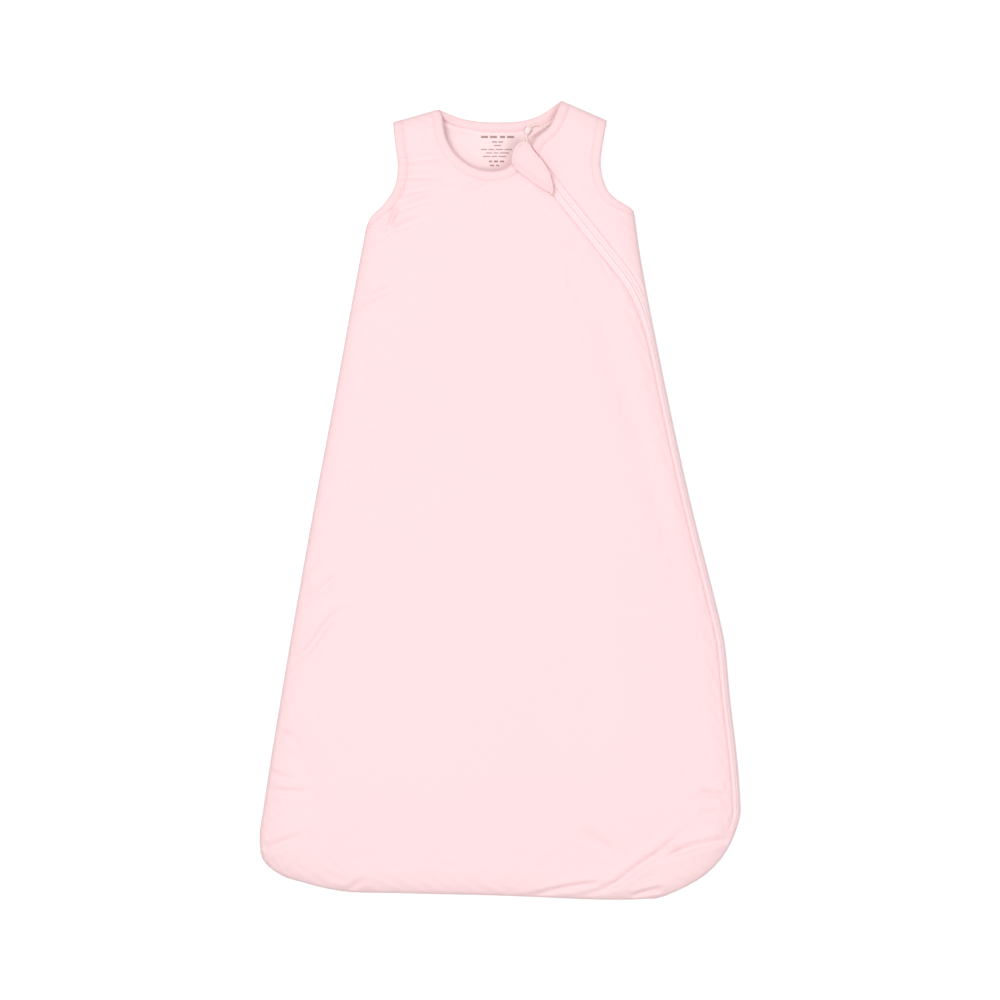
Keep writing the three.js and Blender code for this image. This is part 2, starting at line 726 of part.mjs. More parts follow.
// Zip tapes, coils and stops. The tape lies between lining and shell beside the band. Past the end of
// the side panel the right tape settles on to the edge of the back.
const apexY = zipLine(apexShare).y;
const leftTapeLow = raised(height.frontLiningTop, tapeGap);
const settled = (x, y) => (liningThickness + tapeGap) * smooth((apexY - y) / tapeSettle);
const rightTapeLow = (x, y) => leftTapeLow(x, y) - settled(x, y);
const leftZipShares = alongShares.filter((v) => v >= stopShare).map(frontZipShare).reverse();
const rightZipShares = [
  ...sideZipShares.map((v) => mix(apexShare, neckEndShare, v)).reverse(),
  ...leftZipShares.filter((t) => t > apexShare + gap / zipLength),
];
const seamDistance = (t) => distanceTo([seamLines[2]], zipLine(t).x, zipLine(t).y);
const leftTapeReach = (t) => halfBandAt(t) + seamAllowance;
const rightTapeReach = (t) => Math.min(halfBandAt(t) + seamAllowance, seamDistance(t) - tapeSeamClear);

function addZipSide(name, sign, shares, reach, tapeLow) {
  const edge = (t, across) => besideZip(t, sign * across);
  const firstShare = tapeStart / zipLength;
  const tapeTop = raised(tapeLow, tapeThickness);
  const coilLow = raised(tapeTop, gap);
  const coilOuter = coilGapHalf + coilWidth;
  const coilFirst = (tapeStart + stopLength + gap) / zipLength;
  const coilLast = 1 - (stopLength + gap) / zipLength;
  const coilShares = [coilFirst, ...shares.filter((t) => t > coilFirst && t < coilLast), coilLast];
  const tape = joined([
    strip(edge, [firstShare, ...shares.slice(0, 2)], coilGapHalf, bandHalf - gap, tapeLow, tapeTop),
    strip(edge, shares, coilGapHalf, reach, tapeLow, tapeTop, tapeSteps, tapeStepPower),
  ]);
  addPiece("zip_tape_" + name, tape, materials.tape);
  addPiece(
    "zip_coil_" + name,
    strip(edge, coilShares, coilGapHalf, coilOuter, coilLow, raised(coilLow, coilHeight)),
    materials.coil,
  );
  const stopShares = [firstShare, coilFirst - gap / zipLength];
  addPiece(
    "zip_top_stop_" + name,
    strip(edge, stopShares, coilGapHalf, coilOuter, coilLow, raised(coilLow, stopHeight)),
    materials.stop,
  );
}

function addZip() {
  addZipSide("left", -1, leftZipShares, leftTapeReach, leftTapeLow);
  addZipSide("right", 1, rightZipShares, rightTapeReach, rightTapeLow);
  const stopLow = raised(leftTapeLow, tapeThickness + gap);
  const stopShares = [1 - stopLength / zipLength, 1];
  const half = coilGapHalf + coilWidth;
  addPiece(
    "zip_bottom_stop",
    strip(besideZip, stopShares, -half, half, stopLow, raised(stopLow, stopHeight)),
    materials.stop,
  );
}

// Levels of the zip where the cloth is level, which is where the slider runs.
const levelLiningTop = shellThickness + gap * 3 + liningThickness * 2 + paddingThickness + roomInside;
const levelTapeLow = levelLiningTop + tapeGap;
const levelCoilTop = levelTapeLow + tapeThickness + gap + coilHeight;
const lowerPlateTop = levelTapeLow - gap;
const upperPlateLow = levelCoilTop + gap;
const upperPlateTop = upperPlateLow + plateThickness;
const levelShellTop = levelLiningTop + gap * 2 + paddingThickness + shellThickness;

function block(length, width, thickness, x, y, z) {
  return new THREE.BoxGeometry(length, width, thickness).translate(x + length / 2, y, z + thickness / 2);
}

// A flat plate from an outline, its underside at a height.
function plate(points, thickness, z, hole) {
  const shape = new THREE.Shape(points);
  if (hole) shape.holes.push(new THREE.Path(hole));
  return new THREE.ExtrudeGeometry(shape, { depth: thickness, bevelEnabled: false }).translate(0, 0, z);
}

const rectangle = (x, length, width) =>
  [at(x, -width / 2), at(x + length, -width / 2), at(x + length, width / 2), at(x, width / 2)];

function addSlider() {
  const outline = sliderShares.map(([x, y]) => at(sliderStart + x * sliderLength, (y * sliderWidth) / 2));
  const bailFrom = sliderStart + bailStart;
  const bailLow = upperPlateTop + bailClear;
  const legHeight = bailClear + bailTop;
  const parts = [
    plate(outline, plateThickness, lowerPlateTop - plateThickness),
    plate(outline, plateThickness, upperPlateLow),
    block(bridgeLength, bridgeWidth, upperPlateLow - lowerPlateTop, sliderStart, 0, lowerPlateTop),
    block(bailLeg, bailWidth, legHeight, bailFrom, 0, upperPlateTop),
    block(bailLeg, bailWidth, legHeight, bailFrom + bailLength - bailLeg, 0, upperPlateTop),
    block(bailLength, bailWidth, bailTop, bailFrom, 0, bailLow),
  ];
  addPiece("zip_slider", joined(parts), materials.slider, zipFrame);
}

// The pull: a flat tab with a ring at one end, whose bar lies under the bail.
const pullBarMiddle = sliderStart + bailStart + bailLength - bailLeg - gap - pullBar / 2;
const pullLow = upperPlateTop + pullClear;
const pullPivot = new THREE.Vector3(pullBarMiddle, 0, pullLow + pullThickness / 2);

function addPull() {
  const from = pullBarMiddle - pullBar / 2;
  const outline = pullShares.map(([x, y]) => at(from + x * pullLength, (y * pullWidth) / 2));
  const hole = rectangle(from + pullBar, pullHoleLength, pullHoleWidth).reverse();
  addHung("zip_pull", plate(outline, pullThickness, pullLow, hole), materials.slider, addHinge(pullPivot));
}

// Guard: a leaf sewn down along its left edge, propped up by the slider under it. Places in the frame
// of the zip, x along it and y across it.
const guardPlace = ([x, y]) => at(x * guardLength - guardOverhang, y * guardWidth - guardAcross);
const guardSeam = spline(guardSeamShares.map(guardPlace));
const guardFree = spline([...guardFreeShares].reverse().map(guardPlace));
const guardAxis = guardSeam(1).sub(guardSeam(0)).normalize();
const fromGuardAxis = (p) => guardAxis.cross(p.clone().sub(guardSeam(0)));
// The hinge line runs beside the sewn edge, clear of its bulge.
const guardBulge = Math.max(...sampled(guardSeam, guardSeamShares.length).map((p) => -fromGuardAxis(p)));
const guardHingeTop = at(guardAxis.y, -guardAxis.x).multiplyScalar(guardBulge).add(guardSeam(0));
const guardThickness = liningThickness + gap + guardShellThickness;
const guardPivot = new THREE.Vector3(
  guardHingeTop.x,
  guardHingeTop.y,
  levelShellTop + guardSeat + guardThickness / 2,
);

function guardLow(x, y) {
  return levelShellTop + guardSeat + guardRise * smooth(fromGuardAxis(at(x, y)) / guardRamp);
}

function addGuard() {
  const edge = (t, inset) => guardFree(t).addScaledVector(leftNormal(guardFree, t), -inset);
  const rows = guardAlongShares.map((t) =>
    guardAcrossShares.map((u) => guardSeam(t).lerp(edge(t, guardEdgeWidth / 2), u)),
  );
  const liningTop = raised(guardLow, liningThickness);
  const shellLow = raised(liningTop, gap);
  const shellTop = raised(shellLow, guardShellThickness);
  const folded = (grown) => {
    const foot = raised(guardLow, -guardEdgeWrap - grown);
    const head = raised(shellTop, guardEdgeWrap + grown);
    return strip(edge, guardAlongShares, -grown, guardEdgeWidth + grown, foot, head);
  };
  const cleared = (low, top) => cutBy(closedSheet(rows, low, top), folded(gap));
  const hinge = addHinge(guardPivot);
  addHung("guard_lining", cleared(guardLow, liningTop), materials.lining, hinge);
  addHung("guard_shell", cleared(shellLow, shellTop), materials.shell, hinge);
  addHung("guard_binding", folded(0), materials.binding, hinge);
}

// Hang loop and its clasp, lying on the lining inside the neck.
function addTagLoop() {
  const centre = at(loopX, topY - loopDrop);
  const pinched = bindingClear + shellThickness + gap * 2 + paddingThickness * pinchedShare + liningThickness;
  const bindingTop = pinched + lapGap + bindingThickness;
  const z = bindingTop + gap + claspHeight / 2;
  const ring = (thickness) =>
    new THREE.TorusGeometry(loopRadius, thickness / 2, 8, 40).translate(centre.x, centre.y, z);
  const clasp = new THREE.BoxGeometry(claspWidth, claspLength, claspHeight)
    .rotateZ(claspAngle)
    .translate(centre.x + loopRadius * Math.cos(claspAngle), centre.y + loopRadius * Math.sin(claspAngle), z);
  addPiece("tag_loop", ring(loopThickness), materials.loop);
  addPiece("tag_clasp", cutBy(clasp, ring(loopThickness + gap * 2)), materials.clasp);
}

addPanels();
addBindings();
addZip();
addSlider();
addPull();
addGuard();
addTagLoop();

// The origin is under the middle of the bag, on the table.
const bounds = new THREE.Box3().setFromObject(bag);
const middle = bounds.getCenter(new THREE.Vector3());
bag.position.set(-middle.x, -middle.y, -bounds.min.z);

export default bag;
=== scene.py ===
# %% [markdown]
# A sleeveless baby sleeping bag, lying on its back and zipped up. It is sewn from soft jersey: each
# panel has a shell, a layer of wadding and a lining. Ribbed binding edges the neck and the armholes,
# and a coil zip runs from the neck to the right side and down it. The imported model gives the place
# and the size of every part. This script dresses it: each part of cloth is made again with its puff,
# its folds and its stitches.

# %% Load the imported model
import math
import bmesh
import bpy
import numpy as np
from mathutils import Color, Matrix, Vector


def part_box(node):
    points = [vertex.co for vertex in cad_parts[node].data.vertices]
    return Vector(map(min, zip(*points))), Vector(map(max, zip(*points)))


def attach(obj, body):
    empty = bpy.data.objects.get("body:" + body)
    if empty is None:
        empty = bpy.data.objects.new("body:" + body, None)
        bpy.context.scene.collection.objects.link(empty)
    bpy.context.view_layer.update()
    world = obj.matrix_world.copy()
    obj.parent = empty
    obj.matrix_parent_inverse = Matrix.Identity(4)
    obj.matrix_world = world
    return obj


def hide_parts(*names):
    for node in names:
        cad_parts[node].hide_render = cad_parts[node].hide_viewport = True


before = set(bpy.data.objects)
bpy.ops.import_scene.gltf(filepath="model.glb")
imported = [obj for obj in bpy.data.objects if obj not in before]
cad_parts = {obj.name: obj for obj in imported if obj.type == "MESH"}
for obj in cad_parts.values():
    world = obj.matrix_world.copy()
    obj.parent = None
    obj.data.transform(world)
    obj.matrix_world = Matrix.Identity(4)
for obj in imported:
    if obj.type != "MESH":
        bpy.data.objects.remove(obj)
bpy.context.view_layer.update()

# %% [markdown]
# The camera looks straight down, as at goods photographed on a table. One pixel of the photograph is
# a known length on the bag, so the lens and the width of the view give the distance. Small sizes that
# come in rows are written in tenths of a millimetre, and a metre has ten thousand of them.

# %% Camera
pixel = 0.000875
tenths_in_metre = 10000
picture_side = 1000
view_width = picture_side * pixel
focal_length = 100
sensor_width = 36
middle_level = 0.008
camera_data = bpy.data.cameras.new("camera")
camera_data.lens = focal_length
camera_data.sensor_width = sensor_width
camera = bpy.data.objects.new("camera", camera_data)
camera.location = (0, 0, middle_level + view_width * focal_length / sensor_width)
bpy.context.scene.collection.objects.link(camera)
bpy.context.scene.camera = camera
print("camera height", round(camera.location.z, 3))

# %% [markdown]
# The sizes are the same as the model's, in metres. The outline is a few listed points, each a share
# of a driving size, and smooth curves run through them.

# %% Sizes of the bag
bag_length = 0.7
hem_width = 0.421
chest_width = 0.2346
shoulder_span = 0.1873
neck_span = 0.1076
front_neck_drop = 0.063
back_neck_drop = 0.019
left_armpit_drop = 0.112
right_armpit_drop = 0.097
left_tip_drop = 0.0192
right_tip_drop = 0.0175
left_neck_point_drop = 0.0079
hem_corner_lift = 0.028
gap = 0.0003
shell_thickness = 0.001
lining_thickness = 0.0008
padding_thickness = 0.0024
room_inside = 0.009
edge_lift = 0.0024
edge_reach = 0.022
belly_rise = 0.006
belly_reach = 0.11
belly_fade = 0.12
pinched_share = 0.5
pinch_reach = 0.012
binding_width = 0.009
binding_lap = 0.003
binding_thickness = 0.0008
lap_gap = 0.0006
zip_lean = math.radians(38.7)
band_half = 0.00575
side_band_half = 0.00375
zip_bottom_lift = 0.061
seam_allowance = 0.004
tape_thickness = 0.0005
tape_gap = 0.00035
coil_width = 0.0012
coil_height = 0.0012
coil_gap_half = 0.0006
apex_width = 0.0015
tape_settle = 0.04

# %% Outline shares
left_side_shares = [
    (0.963, 0.941), (1, 0.911), (0.953, 0.851), (0.803, 0.702),
    (0.644, 0.554), (0.476, 0.405), (0.299, 0.256), (0.093, 0.077), (0, 0),
]
right_side_shares = [
    (0.622, 0.969), (0.811, 0.942), (0.925, 0.913), (1, 0.878), (1, 0.855), (0.972, 0.797),
    (0.906, 0.71), (0.849, 0.623), (0.764, 0.565), (0.529, 0.42), (0.283, 0.245), (0.066, 0.071), (0, 0),
]
hem_shares = [
    (-0.912, 0.777), (-0.823, 0.546), (-0.66, 0.27), (-0.41, 0.2),
    (0, 0.125), (0.43, 0), (0.6, 0.02), (0.67, 0.08),
]
left_armhole_shares = [
    (1, 0), (0.807, 0.095), (0.346, 0.208), (-0.075, 0.377), (-0.193, 0.566), (-0.114, 0.736), (0, 1),
]
right_armhole_shares = [
    (1, 0), (0.714, 0.054), (0.318, 0.12), (0.069, 0.186),
    (-0.143, 0.318), (-0.253, 0.504), (-0.18, 0.714), (0, 1),
]
front_neck_left_shares = [
    (-0.943, 0.23), (-0.878, 0.528), (-0.748, 0.737), (-0.553, 0.889),
    (-0.358, 0.972), (-0.163, 1), (0.017, 0.986), (0.17, 0.915),
]
front_neck_right_shares = [(0.6, 0.535), (0.748, 0.43), (0.829, 0.348), (0.928, 0.16)]
back_neck_shares = [(-0.65, 0.8), (-0.325, 0.97), (0, 1), (0.325, 0.95), (0.65, 0.68)]
zip_top_shares = (0.4275, 0.73)
zip_reach_share = 0.909
handle_share = 0.35
landing_drop_share = 0.245
shoulder_share = 0.22
stop_share = 0.09
armpit_share = 0.82
armpit_step_share = 0.012
side_armpit_share = 0.42
side_neck_share = 0.66
corner_share = 0.96
side_fade = 3
turn_fade = 4

top_y = bag_length / 2
hem_y = -bag_length / 2
half_chest = chest_width / 2
half_hem = hem_width / 2
half_neck = neck_span / 2
half_shoulder = shoulder_span / 2


# %% Curves in plan
def place(x, y):
    return np.array([x, y], float)


def mix(a, b, t):
    return a + (b - a) * t


def smooth(t):
    t = np.clip(t, 0, 1)
    return t * t * (3 - 2 * t)


def bell(t):
    return np.exp(-(t**2))


def quarter_round(t):
    return np.sqrt(1 - (1 - np.clip(t, 0, 1)) ** 2)


def unit(v):
    return v / np.linalg.norm(v, axis=-1, keepdims=True)


def way_between(a, b):
    return (b - a) / np.linalg.norm(b - a)


def by_length(points):
    """A curve through close points, as a function of the share of its length."""
    run = np.concatenate([[0], np.cumsum(np.linalg.norm(np.diff(points, axis=0), axis=1))])

    def curve(t):
        s = np.clip(t, 0, 1) * run[-1]
        return np.stack([np.interp(s, run, points[:, 0]), np.interp(s, run, points[:, 1])], -1)

    curve.run = run
    curve.length = run[-1]
    return curve


curve_steps = 24
tiny = 1e-9


def spline(points):
    """A smooth curve through points. Its speed follows the root of each span, so that it never loops."""
    p = [np.array(q, float) for q in points]
    p = [2 * p[0] - p[1], *p, 2 * p[-1] - p[-2]]
    t = np.linspace(0, 1, curve_steps, endpoint=False)[:, None]
    dense = []
    for a, b, c, d in zip(p, p[1:], p[2:], p[3:]):
        ab, bc, cd = (math.sqrt(max(np.linalg.norm(k), tiny)) for k in (b - a, c - b, d - c))
        start = ((b - a) / ab - (c - a) / (ab + bc) + (c - b) / bc) * bc
        end = ((c - b) / bc - (d - b) / (bc + cd) + (d - c) / cd) * bc
        dense.append(
            b + start * t + (3 * (c - b) - 2 * start - end) * t**2 + (2 * (b - c) + start + end) * t**3
        )
    curve = by_length(np.vstack([*dense, p[-2][None]]))
    curve.knots = curve.run[::curve_steps] / curve.length
    return curve


normal_step_share = 0.002


def left_normal(curve, t):
    t = np.asarray(t, float)
    ahead = unit(curve(np.minimum(t + normal_step_share, 1)) - curve(np.maximum(t - normal_step_share, 0)))
    return np.stack([-ahead[..., 1], ahead[..., 0]], -1)


def beside(curve, t, across):
    """Places beside a curve, on its left where across is positive."""
    return curve(t) + left_normal(curve, t) * np.asarray(across, float)[..., None]


def stretch(curve, start, end):
    def part(t):
        return curve(mix(start, end, np.asarray(t, float)))

    part.length = abs(end - start) * curve.length
    return part


def straight_line(a, b):
    return lambda t: mix(a, b, np.asarray(t, float)[..., None])


def pieced(pieces, shares):
    """A curve that reads one piece up to a share and the next piece after it."""
    ends = [0, *shares, 1]

    def curve(t):
        t = np.asarray(t, float)
        out = np.zeros(t.shape + (2,))
        for i, piece in enumerate(pieces):
            here = (t >= ends[i]) & ((t < ends[i + 1]) | (i == len(pieces) - 1))
            local = np.clip((t - ends[i]) / (ends[i + 1] - ends[i]), 0, 1)
            out = np.where(here[..., None], piece(local), out)
        return out

    return curve


# %% Outline
def side_places(sign, shares, armpit_drop):
    low, high = hem_y, top_y - armpit_drop
    return [(sign * mix(half_chest, half_hem, x), mix(high, low, y)) for x, y in shares]


def armhole(sign, shares, armpit_drop, tip_drop):
    low, high = top_y - armpit_drop, top_y - tip_drop
    return spline([(sign * mix(half_shoulder, half_chest, x), mix(low, high, y)) for x, y in shares])


left_places = side_places(-1, left_side_shares, left_armpit_drop)
right_places = side_places(1, right_side_shares, right_armpit_drop)
hem_places = [(x * half_hem, hem_y + y * hem_corner_lift) for x, y in hem_shares]
# One curve runs down the left side, along the hem and up the right side, so that the corners are round.
outline = spline([*left_places[::-1], *hem_places, *right_places])
left_corner_share = outline.knots[len(left_places) - 1]
right_corner_share = outline.knots[len(left_places) + len(hem_places)]
left_side = stretch(outline, left_corner_share, 0)
hem = stretch(outline, left_corner_share, right_corner_share)
right_side = stretch(outline, right_corner_share, 1)
left_armhole = armhole(-1, left_armhole_shares, left_armpit_drop, left_tip_drop)
right_armhole = armhole(1, right_armhole_shares, right_armpit_drop, right_tip_drop)
left_neck_point = place(-half_neck, top_y - left_neck_point_drop)
right_neck_point = place(half_neck, top_y)
back_neck_places = [(x * half_neck, top_y - y * back_neck_drop) for x, y in back_neck_shares]
back_neck = spline([left_neck_point, *back_neck_places, right_neck_point])
print("hem", round(hem.length, 3), "left side", round(left_side.length, 3))

# %% [markdown]
# The zip runs straight from the neck, bends on to the right side, and then keeps a little inside it.

# %% Zip line
zip_direction = place(math.sin(zip_lean), -math.cos(zip_lean))
zip_across = place(math.cos(zip_lean), math.sin(zip_lean))
halvings = 40
bend_steps = 60
straight_knots = 24
bend_knots = 12
side_knots = 31


def neck_place(share):
    return place(share[0] * half_neck, top_y - share[1] * front_neck_drop)


zip_top = neck_place(zip_top_shares)
zip_straight = (half_chest * zip_reach_share - zip_top[0]) / zip_direction[0]


def zip_point(along, across):
    along, across = np.asarray(along, float)[..., None], np.asarray(across, float)[..., None]
    return zip_top + zip_direction * along + zip_across * across


def side_share_at(y):
    """The share of the right side at a height, found by halving."""
    low, high = 0, 1
    for _ in range(halvings):
        middle = (low + high) / 2
        if right_side(middle)[1] < y:
            low = middle
        else:
            high = middle
    return low


landing_share = side_share_at(mix(top_y - right_armpit_drop, hem_y, landing_drop_share))
zip_end_share = side_share_at(hem_y + zip_bottom_lift)


def make_zip_line():
    start = zip_point(zip_straight, 0)
    landing = beside(right_side, landing_share, side_band_half)
    left = left_normal(right_side, landing_share)
    down = place(-left[1], left[0])
    reach = np.linalg.norm(start - landing)
    handle = reach * handle_share
    corners = [start, start + zip_direction * handle, landing - down * handle, landing]
    s = np.linspace(0, 1, bend_steps)[:, None]
    weights = [(1 - s) ** 3, 3 * s * (1 - s) ** 2, 3 * s**2 * (1 - s), s**3]
    bend = by_length(sum(w * c for w, c in zip(weights, corners)))
    points = [*zip_point(np.arange(straight_knots) / straight_knots * zip_straight, 0)]
    points += [*bend(np.arange(bend_knots) / bend_knots)]
    points += [*beside(right_side, np.linspace(landing_share, zip_end_share, side_knots), side_band_half)]
    return spline(points), reach


zip_line, bend_length = make_zip_line()
zip_length = zip_line.length
straight_share = zip_straight / zip_length
bend_end_share = straight_share + bend_length / zip_length


def half_band_at(t):
    return mix(band_half, side_band_half, smooth((t - straight_share) / (bend_end_share - straight_share)))


zip_top_left = zip_point(0, -band_half)
zip_top_right = zip_point(0, band_half)
front_neck_left = spline([left_neck_point, *map(neck_place, front_neck_left_shares), zip_top_left])
front_neck_right = spline([zip_top_right, *map(neck_place, front_neck_right_shares), right_neck_point])
print("zip length", round(zip_length, 4))


# %% [markdown]
# A bound edge is its curve, and places at an inset from it. Towards its ends the inward direction
# turns to run with the seam that it ends on: the zip, a side seam or a shoulder seam. At the armpits
# the binding also narrows, because it passes round to the back there.

# %% Bound edges
armpit_narrow_share = 0.6
near_armpit_share = 0.97


def bound_edge(curve, inward, starts, ends, start_share=1):
    def edge(t, inset):
        t = np.asarray(t, float)
        normal = left_normal(curve, t) * inward
        for way, near in ((starts, 1 - t), (ends, t)):
            normal = mix(normal, way, (near**turn_fade)[..., None])
        narrowed = np.asarray(inset, float) * mix(1, start_share, (1 - t) ** turn_fade)
        return curve(t) + unit(normal) * narrowed[..., None]

    edge.length = curve.length
    return edge


down_left = way_between(left_side(1), left_side(near_armpit_share))
down_right = way_between(right_side(1), right_side(near_armpit_share))
left_shoulder = way_between(left_neck_point, left_armhole(1))
right_shoulder = way_between(right_neck_point, right_armhole(1))
left_armhole_edge = bound_edge(left_armhole, -1, down_left, -left_shoulder, armpit_narrow_share)
right_armhole_edge = bound_edge(right_armhole, 1, down_right, -right_shoulder, armpit_narrow_share)
back_neck_edge = bound_edge(back_neck, -1, left_shoulder, right_shoulder)
front_neck_left_edge = bound_edge(front_neck_left, -1, left_shoulder, zip_direction)
front_neck_right_edge = bound_edge(front_neck_right, -1, zip_direction, right_shoulder)
cloth_inset = binding_width - binding_lap + gap


def cloth_edge(edge):
    return lambda t: edge(t, cloth_inset)


# %% Distances to the edges
def distance_to(lines, places):
    """The distance of every place to the nearest of some lines."""
    flat = places.reshape(-1, 2)
    nearest = np.full(len(flat), np.inf)
    for line in lines:
        for a, b in zip(line, line[1:]):
            run = b - a
            off = flat - a
            t = np.clip(off @ run / (run @ run), 0, 1)
            nearest = np.minimum(nearest, np.hypot(off[:, 0] - t * run[0], off[:, 1] - t * run[1]))
    return nearest.reshape(places.shape[:-1])


def sampled(curve, steps):
    return curve(np.linspace(0, 1, steps + 1))


side_steps = 60
hem_steps = 40
opening_steps = 24
neck_left_steps = 30
neck_right_steps = 20
zip_steps = 80
band_steps = 160
side_line = sampled(right_side, side_steps)
seam_lines = [
    sampled(left_side, side_steps), sampled(hem, hem_steps), side_line,
    np.array([left_armhole(1), left_neck_point]), np.array([right_armhole(1), right_neck_point]),
]
armhole_lines = [sampled(curve, opening_steps) for curve in (left_armhole, right_armhole)]
back_bound_lines = [*armhole_lines, sampled(back_neck, opening_steps)]
front_bound_lines = [
    *armhole_lines, sampled(front_neck_left, neck_left_steps), sampled(front_neck_right, neck_right_steps)
]
zip_lines = [sampled(zip_line, zip_steps)]
band_lines = [sampled(lambda t: beside(zip_line, t, side * half_band_at(t)), band_steps) for side in (-1, 1)]


# %% [markdown]
# Folds are what makes cloth look like cloth. Each fold that the photograph shows is a short line in
# pixels, with a width and a depth. A crease is a dip beside a low ridge. Small puckers run along
# the seams, where the thread draws the wadding in, and long low waves lie over the whole front.

# %% Folds
creases = [
    # Points in pixels, then half width and depth in tenths of a millimetre.
    ([(733, 834), (727, 838), (712, 841), (698, 844), (683, 848), (668, 854), (650, 862)], 34, 68),
    ([(680, 834), (657, 852), (635, 867), (618, 881), (596, 890), (570, 893)], 36, 58),
    ([(658, 888), (642, 892), (626, 897)], 28, 74),
    ([(526, 896), (550, 890), (575, 885), (612, 880)], 30, 54),
    ([(346, 890), (355, 885), (363, 879)], 28, 48),
    ([(588, 834), (602, 843), (614, 852)], 50, 32),
    ([(700, 791), (712, 793), (730, 795)], 26, 45),
    ([(702, 812), (716, 811), (730, 813)], 30, 26),
    ([(262, 850), (284, 841), (306, 834)], 42, 42),
    ([(266, 770), (284, 776), (298, 780)], 30, 42),
    ([(266, 790), (292, 790), (314, 792)], 30, 35),
    ([(272, 742), (285, 734), (296, 741)], 34, 42),
    ([(290, 660), (307, 652), (325, 627), (340, 611), (356, 608)], 34, 54),
    ([(302, 599), (320, 592), (342, 570)], 34, 45),
    ([(306, 570), (320, 556), (333, 543)], 36, 29),
    ([(350, 309), (368, 300), (385, 292), (401, 285)], 34, 48),
    ([(395, 212), (393, 220), (389, 228)], 22, 61),
    ([(396, 164), (424, 160), (450, 158)], 38, 29),
    ([(396, 178), (430, 178), (460, 186)], 38, 32),
    ([(396, 195), (425, 190), (452, 184)], 36, 35),
    ([(393, 213), (420, 203), (446, 194)], 36, 32),
    ([(380, 238), (404, 227), (426, 219)], 36, 29),
    ([(466, 191), (480, 184), (492, 177)], 28, 22),
    ([(556, 242), (573, 237), (592, 233)], 32, 22),
    ([(560, 251), (578, 246), (600, 240)], 34, 20),
    ([(568, 274), (570, 281), (571, 288)], 28, 20),
    ([(596, 300), (618, 370), (642, 446), (660, 510), (680, 575), (700, 640)], 120, 30),
    ([(290, 740), (306, 770), (312, 800), (308, 828)], 140, 30),
]
back_creases = [
    ([(438, 113), (452, 123), (463, 130), (480, 133)], 21, 22),
    ([(438, 122), (452, 129), (462, 135)], 18, 16),
    ([(528, 137), (545, 127), (562, 112)], 21, 22),
    ([(536, 141), (548, 132), (560, 120)], 18, 16),
]
fold_steps = 8
ridge_share = 0.5
ridge_spread = 2.2
start_fade_share = 0.12
end_fade_share = 0.36
print("folds", len(creases) + len(back_creases))


# %% Relief of the folds
def at_pixels(points):
    p = np.array(points, float)
    return np.stack([(p[..., 0] - picture_side / 2) * pixel, (picture_side / 2 - p[..., 1]) * pixel], -1)


def dip(away):
    return ridge_share * bell(away / ridge_spread) - bell(away)


def folded(places, folds, profile):
    """The relief of some folds. Each fades sooner at its start, which is at a seam, than at its end."""
    total = np.zeros(places.shape[:-1])
    for points, width, depth in folds:
        fold = spline(at_pixels(points))
        away = distance_to([sampled(fold, fold_steps)], places) / (width / tenths_in_metre)
        taper = 1
        for end, fade_share in ((0, start_fade_share), (1, end_fade_share)):
            from_end = np.linalg.norm(places - fold(end), axis=-1)
            taper = taper * smooth(from_end / (fold.length * fade_share))
        total += depth / tenths_in_metre * profile(away) * taper
    return total


# %% Waves and puckers
# Each wave's lengths along both axes, and its phase.
wave_lengths = [(0.31, 0.52, 0.4), (0.23, -0.36, 1.9), (0.17, 0.19, 3.1), (0.12, -0.14, 5.2)]
wave_height = 0.0011
pucker_height = 0.00028
pucker_length = 0.0105
pucker_reach = 0.011
pucker_lean_share = 0.6
slow_drift, slow_rate = 2, 23
quick_drift, quick_rate, quick_phase = 1.3, 41, 2


def waves(places):
    total = 0
    for i, (length_x, length_y, phase) in enumerate(wave_lengths):
        turns = places[..., 0] / length_x + places[..., 1] / length_y
        total = total + np.sin(math.tau * turns + phase) / (i + 1)
    return total * wave_height / len(wave_lengths)


def puckers(places, away):
    """Small waves across a seam that die away from it. They drift in length, as gathered cloth does."""
    along = places[..., 0] * pucker_lean_share + places[..., 1]
    drift = slow_drift * np.sin(along * slow_rate)
    drift += quick_drift * np.sin(places[..., 0] * quick_rate + quick_phase)
    wave = np.sin(math.tau * along / pucker_length + drift)
    return pucker_height * wave * bell(away / pucker_reach)


print("puckers", round(hem.length / pucker_length), "along the hem")

# %% [markdown]
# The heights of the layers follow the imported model. Each layer rises from the seams in a quarter
# round, and the front swells a little over the belly. Right at a seam all the layers are squeezed
# together by the thread, so their edges close on one line.

# %% Heights of the layers
squeeze_reach = 0.0026
seam_level = edge_lift + (2 * shell_thickness + 2 * lining_thickness + 4 * gap) / 2
roll_reach = 0.0032
roll_touch = 0.0002
flat_end = 0.15
binding_clear = binding_thickness + lap_gap + gap


class Spots:
    """Places on the bag with what the heights need to know about each of them."""

    def __init__(self, places):
        self.places = np.asarray(places, float)
        self.seam = distance_to(seam_lines, self.places)
        self.rise = quarter_round(self.seam / edge_reach)
        self.squeeze = quarter_round(self.seam / squeeze_reach)
        self.back_bound = distance_to(back_bound_lines, self.places) - binding_width
        self.front_bound = distance_to(front_bound_lines, self.places) - binding_width
        self.band = distance_to(zip_lines, self.places) - band_half
        self.band_edge = distance_to(band_lines, self.places)
        below_zip = smooth((zip_point(zip_straight, 0)[1] - self.places[..., 1]) / belly_fade)
        self.belly = belly_rise * smooth(self.seam / belly_reach) * below_zip
        quiet = smooth(self.band_edge / pinch_reach) * self.rise
        self.relief = (folded(self.places, creases, dip) + waves(self.places)) * quiet
        self.relief += puckers(self.places, self.seam) * self.rise
        at_zip = puckers(self.places[..., ::-1], np.maximum(self.band, 0))
        self.relief += at_zip * smooth(self.band / roll_reach)


